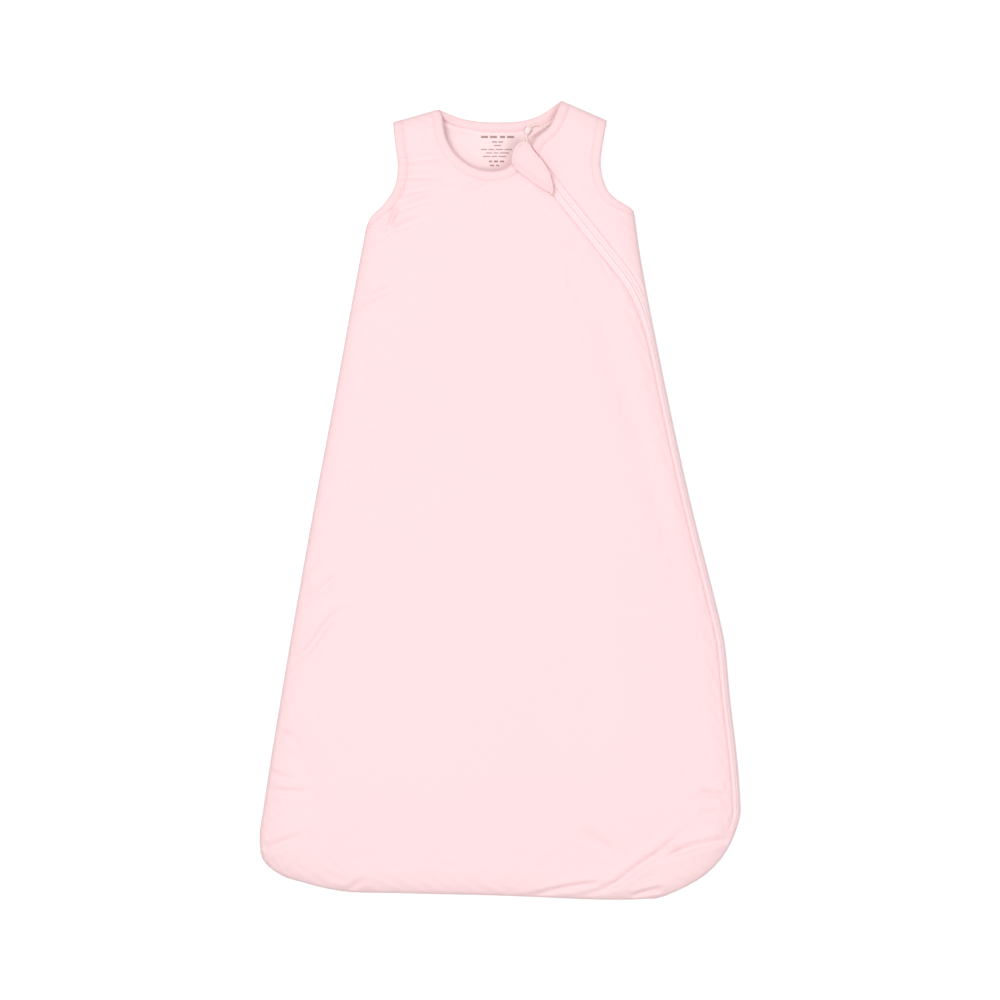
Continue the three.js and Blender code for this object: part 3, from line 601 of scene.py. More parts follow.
def open_rise(distance):
    return mix(pinched_share, 1, smooth(distance / pinch_reach))


def squeezed(spots, z):
    return mix(seam_level + (z - seam_level) * flat_end, z, spots.squeeze)


def back_heights(spots):
    """Shell, wadding and lining of the back, from low to top."""
    lift = edge_lift * (1 - spots.rise)
    shell_low = lift + binding_clear * spots.rise * (1 - smooth(spots.back_bound / pinch_reach))
    padding_low = shell_low + shell_thickness + gap
    padding_top = padding_low + padding_thickness * spots.rise * open_rise(spots.back_bound)
    lining_low = padding_top + gap + folded(spots.places, back_creases, bell)
    return {
        "shell": (shell_low, shell_low + shell_thickness),
        "padding": (padding_low, padding_top),
        "lining": (lining_low, lining_low + lining_thickness),
    }


def front_heights(spots):
    """Lining, wadding and shell of the front, from low to top, and the zip's tape."""
    base = edge_lift * (1 - spots.rise) + shell_thickness + gap * 3 + lining_thickness
    lining_low = base + (padding_thickness + room_inside) * spots.rise + spots.belly + spots.relief
    lining_top = lining_low + lining_thickness
    pinch = np.minimum(open_rise(spots.front_bound), open_rise(spots.band))
    padding_top = lining_top + gap + padding_thickness * spots.rise * pinch
    return {
        "lining": (lining_low, lining_top),
        "padding": (lining_top + gap, padding_top),
        "shell": (padding_top + gap, padding_top + gap + shell_thickness),
        "tape": (lining_top + tape_gap, lining_top + tape_gap + tape_thickness),
    }


# %% [markdown]
# Each panel is a patch between four edges: the hem, the two sides and the top, where the top runs
# along a shoulder and the neck, and a side runs up its seam and round the armhole.

# %% Patch of the back
def patch(bottom, top, left, right):
    """A ruled patch whose sides' departures from straight die away quickly towards its middle."""

    def departure(curve, v):
        return curve(v) - mix(curve(0), curve(1), v[..., None])

    def cloth(u, v):
        u1, v1 = u[..., None], v[..., None]
        ruled = mix(bottom(u), top(u), v1)
        return ruled + departure(left, v) * (1 - u1) ** side_fade + departure(right, v) * u1**side_fade

    return cloth


seam_length_steps = 200


def side_and_armhole(seam, edge, armpit):
    opening = cloth_edge(edge)
    length = np.linalg.norm(np.diff(sampled(seam, seam_length_steps), axis=0), axis=1).sum()
    seam_end = stretch(seam, 0, 1 - cloth_inset * armpit_narrow_share / length)
    pieces = [seam_end, straight_line(seam_end(1), opening(0)), opening]
    return pieced(pieces, [armpit - armpit_step_share, armpit])


def back_patch():
    left = side_and_armhole(left_side, left_armhole_edge, armpit_share)
    right = side_and_armhole(right_side, right_armhole_edge, armpit_share)
    neck = cloth_edge(back_neck_edge)
    pieces = [straight_line(left(1), neck(0)), neck, straight_line(neck(1), right(1))]
    return patch(hem, pieced(pieces, [shoulder_share, 1 - shoulder_share]), left, right)


# %% Patches of the front
neck_end_share = cloth_inset / zip_length


def front_patch():
    left = side_and_armhole(left_side, left_armhole_edge, armpit_share)
    neck = cloth_edge(front_neck_left_edge)

    def corner(t):
        inset = side_band_half * 2 * smooth((t - corner_share) / (1 - corner_share))
        return beside(right_side, mix(0, zip_end_share, t), inset)

    def beside_band(v):
        t = mix(1, neck_end_share, v)
        return beside(zip_line, t, -half_band_at(t))

    right = pieced([corner, beside_band], [stop_share])
    return patch(hem, pieced([straight_line(left(1), neck(0)), neck], [shoulder_share]), left, right)


apex_steps = 401


def find_apex_share():
    """Where the zip comes so close to the side that the side panel ends."""
    t = np.linspace(straight_share, 1, apex_steps)
    near = distance_to([side_line], beside(zip_line, t, half_band_at(t))) < apex_width
    return t[np.argmax(near)]


apex_share = find_apex_share()


def side_patch():
    apex_side = side_share_at(beside(zip_line, apex_share, half_band_at(apex_share))[1])

    def zip_edge(t):
        t = mix(apex_share, neck_end_share, t)
        return beside(zip_line, t, half_band_at(t))

    left = pieced([zip_edge, cloth_edge(front_neck_right_edge)], [side_neck_share])
    right = side_and_armhole(stretch(right_side, apex_side, 1), right_armhole_edge, side_armpit_share)
    return lambda u, v: mix(left(v), right(v), u[..., None])


print("apex share", round(float(apex_share), 3))


# %% [markdown]
# Every layer of cloth is a closed mesh: a grid of places with a lower and an upper face, and walls
# round its edge. The grid lines stand closer together near the edges, where the cloth turns down.

# %% Cloth meshes
def grid_lines(count, crowd):
    s = np.linspace(0, 1, count)
    return s - crowd * np.sin(math.tau * s) / math.tau


def lifted(places, z):
    return np.concatenate([places, z[..., None]], -1)


def new_object(name, vertices, faces, material=None, uv=None):
    mesh = bpy.data.meshes.new(name)
    mesh.from_pydata(vertices.tolist(), [], faces)
    mesh.validate()
    if uv is not None:
        layer = mesh.uv_layers.new(name="cloth")
        loops = np.empty(len(mesh.loops), dtype=np.int64)
        mesh.loops.foreach_get("vertex_index", loops)
        layer.data.foreach_set("uv", np.asarray(uv, np.float32)[loops].ravel())
    if material:
        mesh.materials.append(material)
    mesh.polygons.foreach_set("use_smooth", [True] * len(mesh.polygons))
    obj = bpy.data.objects.new(name, mesh)
    bpy.context.scene.collection.objects.link(obj)
    return obj


# %% Closed sheets
def grid_quads(index):
    return np.stack([index[:-1, :-1], index[:-1, 1:], index[1:, 1:], index[1:, :-1]], -1).reshape(-1, 4)


def closed_sheet(name, places, low, top, material, uv=None):
    """A closed mesh over a grid of places, between two faces."""
    rows, columns = places.shape[:2]
    layer = rows * columns
    index = np.arange(layer).reshape(rows, columns)
    quads = grid_quads(index)
    faces = quads[:, ::-1].tolist() + (quads + layer).tolist()
    rim = [*index[0, :-1], *index[:-1, -1], *index[-1, :0:-1], *index[:0:-1, 0]]
    faces += [[int(i), int(j), int(j) + layer, int(i) + layer] for i, j in zip(rim, rim[1:] + rim[:1])]
    row, column = rows // 2, columns // 2
    step_u = places[row, column + 1] - places[row, column]
    step_v = places[row + 1, column] - places[row, column]
    if step_u[0] * step_v[1] - step_u[1] * step_v[0] < 0:
        faces = [face[::-1] for face in faces]
    points = np.concatenate([lifted(places, low).reshape(-1, 3), lifted(places, top).reshape(-1, 3)])
    both_uv = None if uv is None else np.concatenate([uv.reshape(-1, 2)] * 2)
    return new_object(name, points, faces, material, both_uv)


def tidy_normals(obj):
    work = bmesh.new()
    work.from_mesh(obj.data)
    bmesh.ops.recalc_face_normals(work, faces=work.faces)
    work.to_mesh(obj.data)
    work.free()
    return obj


def one_side(obj):
    """The area of one side of a thin piece, in square metres."""
    return sum(face.area for face in obj.data.polygons) / 2


def ridden(obj, body, slot, *nodes):
    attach(obj, body)
    if nodes:
        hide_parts(*nodes)
    return obj


# %% [markdown]
# The jersey is a fine weft knit. Up close its face shows columns of small V stitches, so one node
# group draws those columns as a height, and every cloth material places it with its own pitch. The
# colour drifts very slightly over the cloth, as dyed cotton does. A second group draws plain ribs.

# %% Knit and rib node groups
stitch_lean = 1.4
stitch_share = 0.35
stitch_middle = 0.5
group_sockets = [("Vector", "INPUT", "Vector"), ("Pitch", "INPUT", "Float"), ("Height", "OUTPUT", "Float")]


def feed(tree, node, values):
    """Gives a node's inputs their values. Each is a number, a colour or another node's output."""
    for name, value in values.items():
        if isinstance(value, bpy.types.NodeSocket):
            tree.links.new(value, node.inputs[name])
        else:
            node.inputs[name].default_value = value


def put(tree, kind, values=None, **settings):
    node = tree.nodes.new("ShaderNode" + kind)
    for name, value in settings.items():
        setattr(node, name, value)
    feed(tree, node, values or {})
    return node


def calc(tree, operation, a, b=0):
    return put(tree, "Math", {0: a, 1: b}, operation=operation).outputs[0]


def pattern_group(name, draw):
    """A node group that draws a height from places on the cloth and the pattern's pitch."""
    group = bpy.data.node_groups.new(name, "ShaderNodeTree")
    for socket, way, kind in group_sockets:
        group.interface.new_socket(socket, in_out=way, socket_type="NodeSocket" + kind)
    inside = group.nodes.new("NodeGroupInput")
    split = put(group, "SeparateXYZ", {0: inside.outputs["Vector"]})

    def turns(axis):
        return calc(group, "DIVIDE", split.outputs[axis], inside.outputs["Pitch"])

    feed(group, group.nodes.new("NodeGroupOutput"), {"Height": draw(group, turns)})
    return group


def draw_knit(group, turns):
    across = calc(group, "FRACT", turns(0))
    lean = calc(group, "ABSOLUTE", calc(group, "SUBTRACT", across, stitch_middle))
    leaning = calc(group, "ADD", turns(1), calc(group, "MULTIPLY", lean, stitch_lean))
    stitch = calc(group, "SINE", calc(group, "MULTIPLY", leaning, math.tau))
    legs = calc(group, "ABSOLUTE", calc(group, "SINE", calc(group, "MULTIPLY", across, math.tau * 2)))
    return calc(group, "ADD", calc(group, "MULTIPLY", stitch, stitch_share), legs)


def draw_ribs(group, turns):
    return calc(group, "SINE", calc(group, "MULTIPLY", turns(0), math.tau))


knit = pattern_group("jersey knit", draw_knit)
ribs = pattern_group("ribs", draw_ribs)

# %% [markdown]
# A cloth material is one colour that drifts to a near one, with a bump of knit or ribs under a fine
# fuzz. The shell is pale pink. The bindings and the guard are a touch deeper. The linings of the front
# and the side only show as the shade inside the neck, and they are deeper still: painted shade, so
# that this shade turns pink. The back lining is paler than the shell, partly its own tone and partly
# painted light that lifts the shade inside the neck.

# %% Cloth materials
white = 255
knit_pitch, knit_depth = 0.0011, 0.00012
wadding_pitch = 0.002
rib_pitch, rib_depth = 0.0013, 0.0003
tape_pitch = 0.0006
thread_pitch = 0.0004
fine_depth = 0.0001
cloth_look = {"Roughness": 0.92, "Specular IOR Level": 0.2, "Sheen Weight": 0.12, "Sheen Roughness": 0.5}
cloth_bump = 0.35
drift_scale, drift_detail = 9, 3
fuzz_scale, fuzz_detail = 1400, 2


# %% Parts of a material
def linear(colour):
    """A colour as a screen shows it, up to white, as the shader takes it."""
    return (*Color([part / white for part in colour]).from_srgb_to_scene_linear(), 1)


def new_material(name):
    material = bpy.data.materials.new(name)
    material.use_nodes = True
    tree = material.node_tree
    return material, tree, tree.nodes["Principled BSDF"]


def noise(tree, where, scale, detail):
    return put(tree, "TexNoise", {"Vector": where, "Scale": scale, "Detail": detail}).outputs["Fac"]


def drifting(tree, share, first, second):
    return put(tree, "Mix", {"Factor": share, "A": first, "B": second}, data_type="RGBA").outputs["Result"]


def bump(tree, height, strength, depth):
    return put(tree, "Bump", {"Height": height, "Strength": strength, "Distance": depth}).outputs["Normal"]


def cloth_material(name, colour, drift, pitch=knit_pitch, depth=knit_depth, pattern=knit, where="Object"):
    material, tree, shader = new_material(name)
    source = put(tree, "TexCoord").outputs
    surface = put(tree, "Group", {"Vector": source[where], "Pitch": pitch}, node_tree=pattern)
    fuzz = noise(tree, source["Object"], fuzz_scale, fuzz_detail)
    height = calc(tree, "ADD", surface.outputs["Height"], fuzz)
    share = noise(tree, source["Object"], drift_scale, drift_detail)
    feed(tree, shader, {
        **cloth_look,
        "Base Color": drifting(tree, share, linear(colour), linear(drift)),
        "Normal": bump(tree, height, cloth_bump, depth),
    })
    return material


def rib_material(name, colour, drift, pitch=rib_pitch, depth=rib_depth):
    return cloth_material(name, colour, drift, pitch, depth, ribs, "UV")


def thread_material(name, colour, drift):
    return cloth_material(name, colour, drift, thread_pitch, fine_depth, ribs)


# %% Cloths
shell_cloth = cloth_material("shell jersey", (254, 221, 224), (254, 219, 222))
# The lining is paler than the shell: partly its own tone, partly painted light that lifts the shade inside
# the neck.
lining_with_painted_light = cloth_material("lining jersey", (254, 228, 230), (254, 226, 228))
# Painted shade: the front and side linings are a deeper pink, so that the shade inside the neck turns pink.
shade_pink_lining = cloth_material("inner jersey", (254, 208, 212), (254, 205, 209))
guard_cloth = cloth_material("guard jersey", (253, 218, 221), (253, 216, 219))
wadding_cloth = cloth_material("wadding", (250, 249, 248), (246, 245, 244), wadding_pitch, rib_depth)
binding_cloth = rib_material("ribbed binding", (254, 219, 222), (253, 216, 219))
guard_rib_cloth = rib_material("cream rib", (254, 219, 220), (253, 216, 217))
tape_cloth = rib_material("zip tape", (254, 225, 228), (253, 222, 225), tape_pitch, fine_depth)
thread = thread_material("sewing thread", (254, 218, 221), (252, 210, 214))
# Painted shadow: a deep pink thread that draws the dark crease along the guard's sewn edge.
guard_crease_shade_thread = thread_material("guard thread", (244, 160, 168), (240, 152, 160))
print("materials", len(bpy.data.materials))

# %% [markdown]
# Real jersey over wadding is never quite smooth: the cloth is a little larger than what it covers, so
# it buckles into small soft wrinkles, most of all near the seams. That is what a cloth simulation is
# good at. A coarse copy of the front is held along its edges and softly by the wadding everywhere
# else, it grows a little, and after some steps the height of its wrinkles is read off and kept.

# %% Wrinkles from a cloth simulation
drape_columns, drape_rows = grid_lines(101, 0.45), grid_lines(171, 0.4)
drape_frames = 16
drape_hold = 0.22
drape_settings = {
    "quality": 5, "mass": 0.1, "air_damping": 2, "tension_stiffness": 12, "compression_stiffness": 12,
    "shear_stiffness": 5, "bending_stiffness": 0.05, "pin_stiffness": 1,
    "shrink_min": -0.012, "shrink_max": -0.045,
}
grow_reach = 0.05
middle_wrinkle_share = 0.3
wrinkle_deepest, wrinkle_highest = -0.00025, 0.0022
front_cloth = front_patch()


# %% Drape the front
def weighted(obj, name, weights):
    """Adds a vertex group with one weight for each point, and gives its name."""
    group = obj.vertex_groups.new(name=name)
    for i, weight in enumerate(weights.ravel()):
        group.add([i], float(weight), "REPLACE")
    return group.name


def drape_front():
    """The height of the wrinkles on a coarse grid of the front."""
    u, v = np.meshgrid(drape_columns, drape_rows)
    spots = Spots(front_cloth(u, v))
    level = squeezed(spots, front_heights(spots)["shell"][1])
    quads = grid_quads(np.arange(u.size).reshape(u.shape)).tolist()
    cloth = new_object("front_drape", lifted(spots.places, level).reshape(-1, 3), quads)
    held = np.full(u.shape, drape_hold)
    held[0], held[-1], held[:, 0], held[:, -1] = 1, 1, 1, 1
    near = np.minimum(np.minimum(spots.seam, spots.band_edge), np.maximum(spots.front_bound, 0))
    bpy.context.view_layer.objects.active = cloth
    modifier = cloth.modifiers.new("cloth", "CLOTH")
    settings = modifier.settings
    settings.vertex_group_mass = weighted(cloth, "pins", held)
    settings.vertex_group_shrink = weighted(cloth, "growth", bell(near / grow_reach))
    for name, value in drape_settings.items():
        setattr(settings, name, value)
    settings.effector_weights.gravity = 0
    modifier.collision_settings.use_collision = False
    modifier.point_cache.frame_start = 1
    modifier.point_cache.frame_end = drape_frames
    for number in range(1, drape_frames + 1):
        bpy.context.scene.frame_set(number)
    grown = cloth.evaluated_get(bpy.context.evaluated_depsgraph_get()).to_mesh()
    moved = np.empty(len(grown.vertices) * 3)
    grown.vertices.foreach_get("co", moved)
    wrinkles = moved.reshape(-1, 3)[:, 2].reshape(u.shape) - level
    bpy.context.scene.frame_set(1)
    bpy.data.objects.remove(cloth)
    print("wrinkles from", round(float(wrinkles.min()), 5), "to", round(float(wrinkles.max()), 5))
    return np.clip(wrinkles, wrinkle_deepest, wrinkle_highest)


front_wrinkles = drape_front()


def wrinkles_at(u, v):
    """The wrinkles between the coarse grid's places."""
    x = np.interp(u, drape_columns, np.arange(len(drape_columns)))
    y = np.interp(v, drape_rows, np.arange(len(drape_rows)))
    i = np.clip(x.astype(int), 0, len(drape_columns) - 2)
    j = np.clip(y.astype(int), 0, len(drape_rows) - 2)
    x, y = smooth(x - i), smooth(y - j)
    below = mix(front_wrinkles[j, i], front_wrinkles[j, i + 1], x)
    above = mix(front_wrinkles[j + 1, i], front_wrinkles[j + 1, i + 1], x)
    return mix(below, above, y)


# %% [markdown]
# The back lies on the table. Its lining shows inside the neck, so it gets a fine grid too. Each
# panel is three pieces: the shell, the wadding and the lining. Beside the zip, the shell's edge
# rolls down on to the tape.

# %% Panels
# The wadding stops a little short of the shell, so that it never shows through a deep fold.
wadding_share = 0.72
# How far in the wadding starts and ends, across and along a panel.
wide_inset = [0.02, 0.98, 0.02, 0.975]
side_inset = [0.25, 0.8, 0.3, 0.9]


def make_panel(name, cloth, heights, columns, rows, inset, lining):
    for kind, material in (("shell", shell_cloth), ("padding", wadding_cloth), ("lining", lining)):
        u, v = np.meshgrid(columns, rows)
        if kind == "padding":
            u, v = mix(inset[0], inset[1], u), mix(inset[2], inset[3], v)
        spots = Spots(cloth(u, v))
        low, top = (squeezed(spots, z) for z in heights(spots)[kind])
        if kind == "padding":
            top = mix(low, top, wadding_share)
        if kind == "shell" and name == "front":
            near = np.minimum(spots.seam, spots.band_edge)
            held = wrinkles_at(u, v) * mix(middle_wrinkle_share, 1, bell(near / grow_reach))
            low, top = low + held, top + held
        if kind == "shell" and name != "back":
            tape_top = squeezed(spots, heights(spots)["tape"][1])
            roll = quarter_round(spots.band_edge / roll_reach)
            low = mix(tape_top + roll_touch, low, roll)
            top = mix(tape_top + roll_touch * 2, top, roll)
        node = name + "_" + kind
        piece = closed_sheet(node + "_cloth", spots.places, low, top, material)
        ridden(piece, "bag", kind, node)
        print(node, "faces", len(piece.data.polygons), "one side", round(one_side(piece), 5))


back_grid = grid_lines(121, 0.6), grid_lines(181, 0.5)
front_grid = grid_lines(171, 0.6), grid_lines(271, 0.5)
side_grid = grid_lines(41, 0.3), grid_lines(221, 0.3)
make_panel("back", back_patch(), back_heights, *back_grid, wide_inset, lining_with_painted_light)
make_panel("front", front_cloth, front_heights, *front_grid, wide_inset, shade_pink_lining)
make_panel("side", side_patch(), front_heights, *side_grid, side_inset, shade_pink_lining)

# %% [markdown]
# A ribbed binding wraps every open edge. In section it is a U: a lap on top of the cloth, a round
# fold over the edge and a lap below. One section is swept along the edge, with its own thickness,
# and its map runs along the edge, so that the ribs stand across it as they do in real rib tape.

# %% Section of a binding
fold_reach = 0.003
binding_step = 0.0016
# From the lap's edge towards the fold, in tenths of a millimetre.
lap_insets = np.array([90, 88, 83, 77, 71, 64, 55, 43]) / tenths_in_metre
lap_height_shares = np.array([0.1, 0.32, 0.45, 0.4, 0.6, 0.85, 1, 1])
section_steps = 9
ripple_height = 0.00022
ripple_length = 0.0085
ripple_drift, ripple_rate = 2, 61
seam_clear = 0.0004
strap_clear = 0.0008


def over_fold(lap, fold):
    """Values along one lap, over the fold and back along the other lap."""
    return np.concatenate([lap, fold, lap[::-1]])


def u_section(laps, fold):
    """The insets of a U, how far each of its points is turned, and the run along it."""
    theta = np.linspace(0, math.pi, section_steps)
    insets = over_fold(laps, fold * (1 - np.sin(theta)))
    turn = np.concatenate([np.ones(len(laps)), np.cos(theta), -np.ones(len(laps))])
    run = np.concatenate([[0], np.cumsum(np.abs(np.diff(insets)) + np.abs(np.diff(turn)) * fold)])
    return insets, turn, run


def wall(index):
    """The faces between closed rings of points, one ring after the other."""
    nearer = np.roll(index, -1, axis=-1)
    faces = [index[..., :-1, :], nearer[..., :-1, :], nearer[..., 1:, :], index[..., 1:, :]]
    return np.stack(faces, -1).reshape(-1, 4).tolist()


# %% Swept sections
def u_tube(name, outer, inner, along, run, material):
    """A swept U with its own thickness and flat ends."""
    rings = np.concatenate([outer, inner[:, ::-1]], 1)
    count, around = rings.shape[:2]
    index = np.arange(count * around).reshape(count, around)
    faces = wall(index)
    for row, way in ((index[0], 1), (index[-1], -1)):
        for k in range(around // 2 - 1):
            faces.append([row[k], row[around - 1 - k], row[around - 2 - k], row[k + 1]][::way])
    faces = [list(map(int, face)) for face in faces]
    uv = np.stack(np.meshgrid(along, np.concatenate([run, run[::-1]]), indexing="ij"), -1)
    return tidy_normals(new_object(name, rings.reshape(-1, 3), faces, material, uv.reshape(-1, 2)))


def ripple(length):
    """A slight wave along a binding, where the stitches draw it in."""
    drift = ripple_drift * np.sin(length * ripple_rate)
    return ripple_height * np.sin(math.tau * length / ripple_length + drift)


def bound_part(name, edge, heights, low_kind, top_kind, clear_start, clear_end):
    length = edge.length
    count = int((length - clear_start - clear_end) / binding_step)
    t = np.linspace(clear_start / length, 1 - clear_end / length, count)
    insets, turn, run = u_section(lap_insets, fold_reach)
    crown = over_fold(np.linspace(0, 1, len(lap_insets)), np.ones(section_steps))
    pressed = over_fold(lap_height_shares, np.ones(section_steps))
    tt, ii = np.meshgrid(t, insets, indexing="ij")
    spots = Spots(edge(tt, np.maximum(ii, fold_reach)))
    layers = heights(spots)
    low = squeezed(spots, layers[low_kind][0]) - lap_gap * pressed
    top = squeezed(spots, layers[top_kind][1]) + lap_gap * pressed
    middle, half = (low + top) / 2, (top - low) / 2
    thickness = binding_thickness * mix(flat_end, 1, pressed) + ripple(tt * length) * crown
    outer = lifted(edge(tt, ii), middle + turn * (half + thickness))
    inner = lifted(edge(tt, ii + binding_thickness * (1 - np.abs(turn))), middle + turn * half)
    return u_tube(name, outer, inner, t * length, run, binding_cloth)


# %% Ribbed bindings
def joined(name, parts):
    """Joins finished pieces into the first one."""
    bpy.ops.object.select_all(action="DESELECT")
    for part in parts:
        part.select_set(True)
    bpy.context.view_layer.objects.active = parts[0]
    bpy.ops.object.join()
    parts[0].name = name
    parts[0].data.name = name
    return parts[0]


front_kind = (front_heights, "lining", "shell")
back_kind = (back_heights, "shell", "lining")
both_kinds = (back_kind, front_kind)
bound_stretches = {
    "neck": [
        (back_neck_edge, *back_kind, seam_clear, seam_clear),
        (front_neck_left_edge, *front_kind, seam_clear, 0),
        (front_neck_right_edge, *front_kind, 0, strap_clear),
    ],
    "left_armhole": [(left_armhole_edge, *kind, seam_clear, seam_clear) for kind in both_kinds],
    "right_armhole": [(right_armhole_edge, *kind, seam_clear, seam_clear) for kind in both_kinds],
}
bindings = {}
for opening, stretches in bound_stretches.items():
    parts = [bound_part(opening + "_part", *one) for one in stretches]
    bindings[opening] = ridden(joined(opening + "_rib", parts), "bag", "binding", opening + "_binding")
    print(opening, "binding one side", round(one_side(bindings[opening]), 5))

# %% [markdown]
# Stitches hold the bindings and the guard. Each one is a short bead of thread, thick in the middle and
# dipping into the cloth at both ends. A row of them is made as one mesh. The zip's coil is made in
# the same way, a bead for each of its loops.

# %% Stitch rows
stitch_length = 0.0022
stitch_pitch = 0.0028
stitch_radius = 0.00022
stitch_sides = 5
# The reach, swell and dip of each ring of a stitch.
stitch_shares = [(-1, 0.35, -1.2), (-0.6, 1, 0), (0.6, 1, 0), (1, 0.35, -1.2)]
stitch_rise_share = 0.5
stitch_look_share = 0.2
stitch_lap_row = 3
row_start_share, row_steps = 0.02, 120


def beads(name, middles, ahead, sideways, levels, rings, sides, material):
    """A row of closed beads. A ring of a bead has its reach, half width, half height and level."""
    reach, width, height, level = (np.array(part)[:, None] for part in zip(*rings))
    angle = math.tau * np.arange(sides) / sides
    wide = width * np.cos(angle)
    plan = middles[:, None, None] + ahead[:, None, None] * (reach + 0 * wide)[..., None]
    plan = plan + sideways[:, None, None] * wide[..., None]
    points = lifted(plan, levels[:, None, None] + level + height * np.sin(angle))
    index = np.arange(points[..., 0].size).reshape(points.shape[:3])
    faces = [*wall(index), *index[:, 0, ::-1].tolist(), *index[:, -1].tolist()]
    return tidy_normals(new_object(name, points.reshape(-1, 3), faces, material))


def stitch_row(name, path, surface, material):
    """Stitches along a path in plan. The surface function gives the height of the cloth."""
    count = int(path.length / stitch_pitch)
    t = (np.arange(count) + 1 / 2) / count
    ahead = unit(path(t + stitch_look_share / count) - path(t - stitch_look_share / count))
    sideways = np.stack([-ahead[:, 1], ahead[:, 0]], -1)
    rings = []
    for reach, swell, down in stitch_shares:
        half = stitch_radius * swell
        rings.append((stitch_length / 2 * reach, half, half, stitch_radius * (stitch_rise_share + down)))
    return beads(name, path(t), ahead, sideways, surface(path(t)), rings, stitch_sides, material)


def on_binding(heights, kind):
    def surface(places):
        spots = Spots(places)
        pressed = lap_height_shares[stitch_lap_row]
        lift = lap_gap * pressed + binding_thickness * mix(flat_end, 1, pressed)
        return squeezed(spots, heights(spots)[kind][1]) + lift

    return surface


front_lap, back_lap = on_binding(front_heights, "shell"), on_binding(back_heights, "lining")
row_shares = np.linspace(row_start_share, 1 - row_start_share, row_steps)
rows = [
    stitch_row("stitches", by_length(edge(row_shares, lap_insets[stitch_lap_row])), lap, thread)
    for edge, lap in (
        (front_neck_left_edge, front_lap), (front_neck_right_edge, front_lap), (back_neck_edge, back_lap),
        (left_armhole_edge, front_lap), (right_armhole_edge, front_lap),
    )
]
binding_stitches = ridden(joined("binding_stitches", rows), "bag", "binding")
print("stitch faces", len(binding_stitches.data.polygons))

# %% [markdown]
# The zip is a coil zip. Two woven tapes lie between shell and lining, and each folds over its coil as
# a smooth ridge, with a groove and a second ridge beside it where it was woven and sewn.

# %% Zip tapes
tape_columns = 41
tape_inner = 0.00003
tape_step = 0.002
tape_start = 0.0008
tape_seam_clear = 0.00005
tape_seam_reach = 0.0045
cover_thickness = 0.00018
# Places from the middle of the zip outwards, and the heights of the tape's face above its underside
# at all of them, in tenths of a millimetre.
tape_cover_places = np.array([0, 2.2, 6, 11, 18, 22]) / tenths_in_metre
tape_outer_shares = np.array([0.25, 0.6, 0.88, 1])
tape_heights = np.array([18, 20.5, 22.2, 22.5, 22.2, 20.5, 16, 19.5, 16, 7, 5]) / tenths_in_metre
cover_reach = tape_cover_places[-1]
apex_y = zip_line(apex_share)[1]


def softly(x, knots, values):
    """Values between knots, eased in and out at each of them."""
    i = np.clip(np.searchsorted(knots, x, side="right") - 1, 0, len(knots) - 2)
    return mix(values[i], values[i + 1], smooth((x - knots[i]) / (knots[i + 1] - knots[i])))


def tape_face(across, half, reach):
    out = np.zeros_like(across)
    for row in range(len(across)):
        outer = mix(cover_reach, half[row], tape_outer_shares)
        knots = np.concatenate([tape_cover_places, outer, [reach[row] + tiny + half[row] * flat_end]])
        out[row] = softly(across[row], knots, tape_heights)
    return out


def tape_levels(spots, right):
    """The right tape settles below the apex, where the side panel's lining has ended."""
    low, top = front_heights(spots)["tape"]
    settled = (lining_thickness + tape_gap) * smooth((apex_y - spots.places[..., 1]) / tape_settle)
    settled = settled * smooth((spots.band + band_half) / side_band_half) * right
    return squeezed(spots, low - settled), squeezed(spots, top - settled)


def zip_tape(name, sign):
    t = np.linspace(tape_start / zip_length, 1, int(zip_length / tape_step))
    reach = half_band_at(t) + seam_allowance
    if sign > 0:
        to_seam = distance_to([side_line], zip_line(t)) - tape_seam_clear
        reach = np.where(to_seam < half_band_at(t) + tape_seam_reach, to_seam, reach)
    across = mix(tape_inner, reach[:, None], np.linspace(0, 1, tape_columns)[None, :])
    along = t[:, None] + 0 * across
    spots = Spots(beside(zip_line, along, sign * across))
    low = tape_levels(spots, sign > 0)[0]
    top = low + tape_face(across, half_band_at(t), reach)
    over_coil = 1 - smooth((across - cover_reach) / (cover_reach * flat_end))
    low = mix(low, top - cover_thickness, over_coil)
    return closed_sheet(name, spots.places, low, top, tape_cloth, np.stack([along * zip_length, across], -1))


# %% [markdown]
# The tapes' cut ends are tucked under a small fold of the shell at the bottom of the zip. The fold is
# a low cushion of cloth, a few millimetres long. It could be cut from the panel itself, but the panel's
# edge turns sharply there, so a piece of its own folds more cleanly over the two tapes.

# %% Fold over the zip's end
end_fold_columns, end_fold_rows = 17, 15
end_fold_below = 0.0045
end_fold_above = 0.0028
end_fold_height = 0.0027
end_fold_clear = 0.0001
end_fold_wider = 0.0012
dome_power = 4


def end_fold():
    u, v = np.meshgrid(np.linspace(0, 1, end_fold_columns), np.linspace(0, 1, end_fold_rows))
    along = zip_end_share + mix(-end_fold_below, end_fold_above, v) / right_side.length
    spots = Spots(beside(right_side, along, mix(end_fold_clear, side_band_half * 2 + end_fold_wider, u)))
    low = tape_levels(spots, True)[0]
    dome = np.sqrt(np.clip((1 - (2 * u - 1) ** dome_power) * (1 - (2 * v - 1) ** dome_power), 0, 1))
    top = low + mix(shell_thickness, end_fold_height, dome)
    return closed_sheet("zip_end_fold", spots.places, low, top, shell_cloth)


# %% [markdown]
# The coil is a row of small nylon loops on each tape, and the loops of one side stand between those
# of the other. Nylon, enamel and plastic are smooth, with a fine grain and slight wear.

# %% Plastic
coil_pitch = 0.00125
tooth_width = 0.0005
tooth_inner = 0.00006
stop_length = 0.002
coil_first = tape_start + stop_length + gap
coil_last = stop_length + gap
tooth_shares = [(0, 0.55), (0.2, 1), (0.8, 1), (1, 0.6)]
tooth_sides = 6
grain_scale, grain_detail = 900, 4
grain_depth = 0.00002
grain_bump = 0.2
roughness_spread = 0.08
worn_share = 0.93


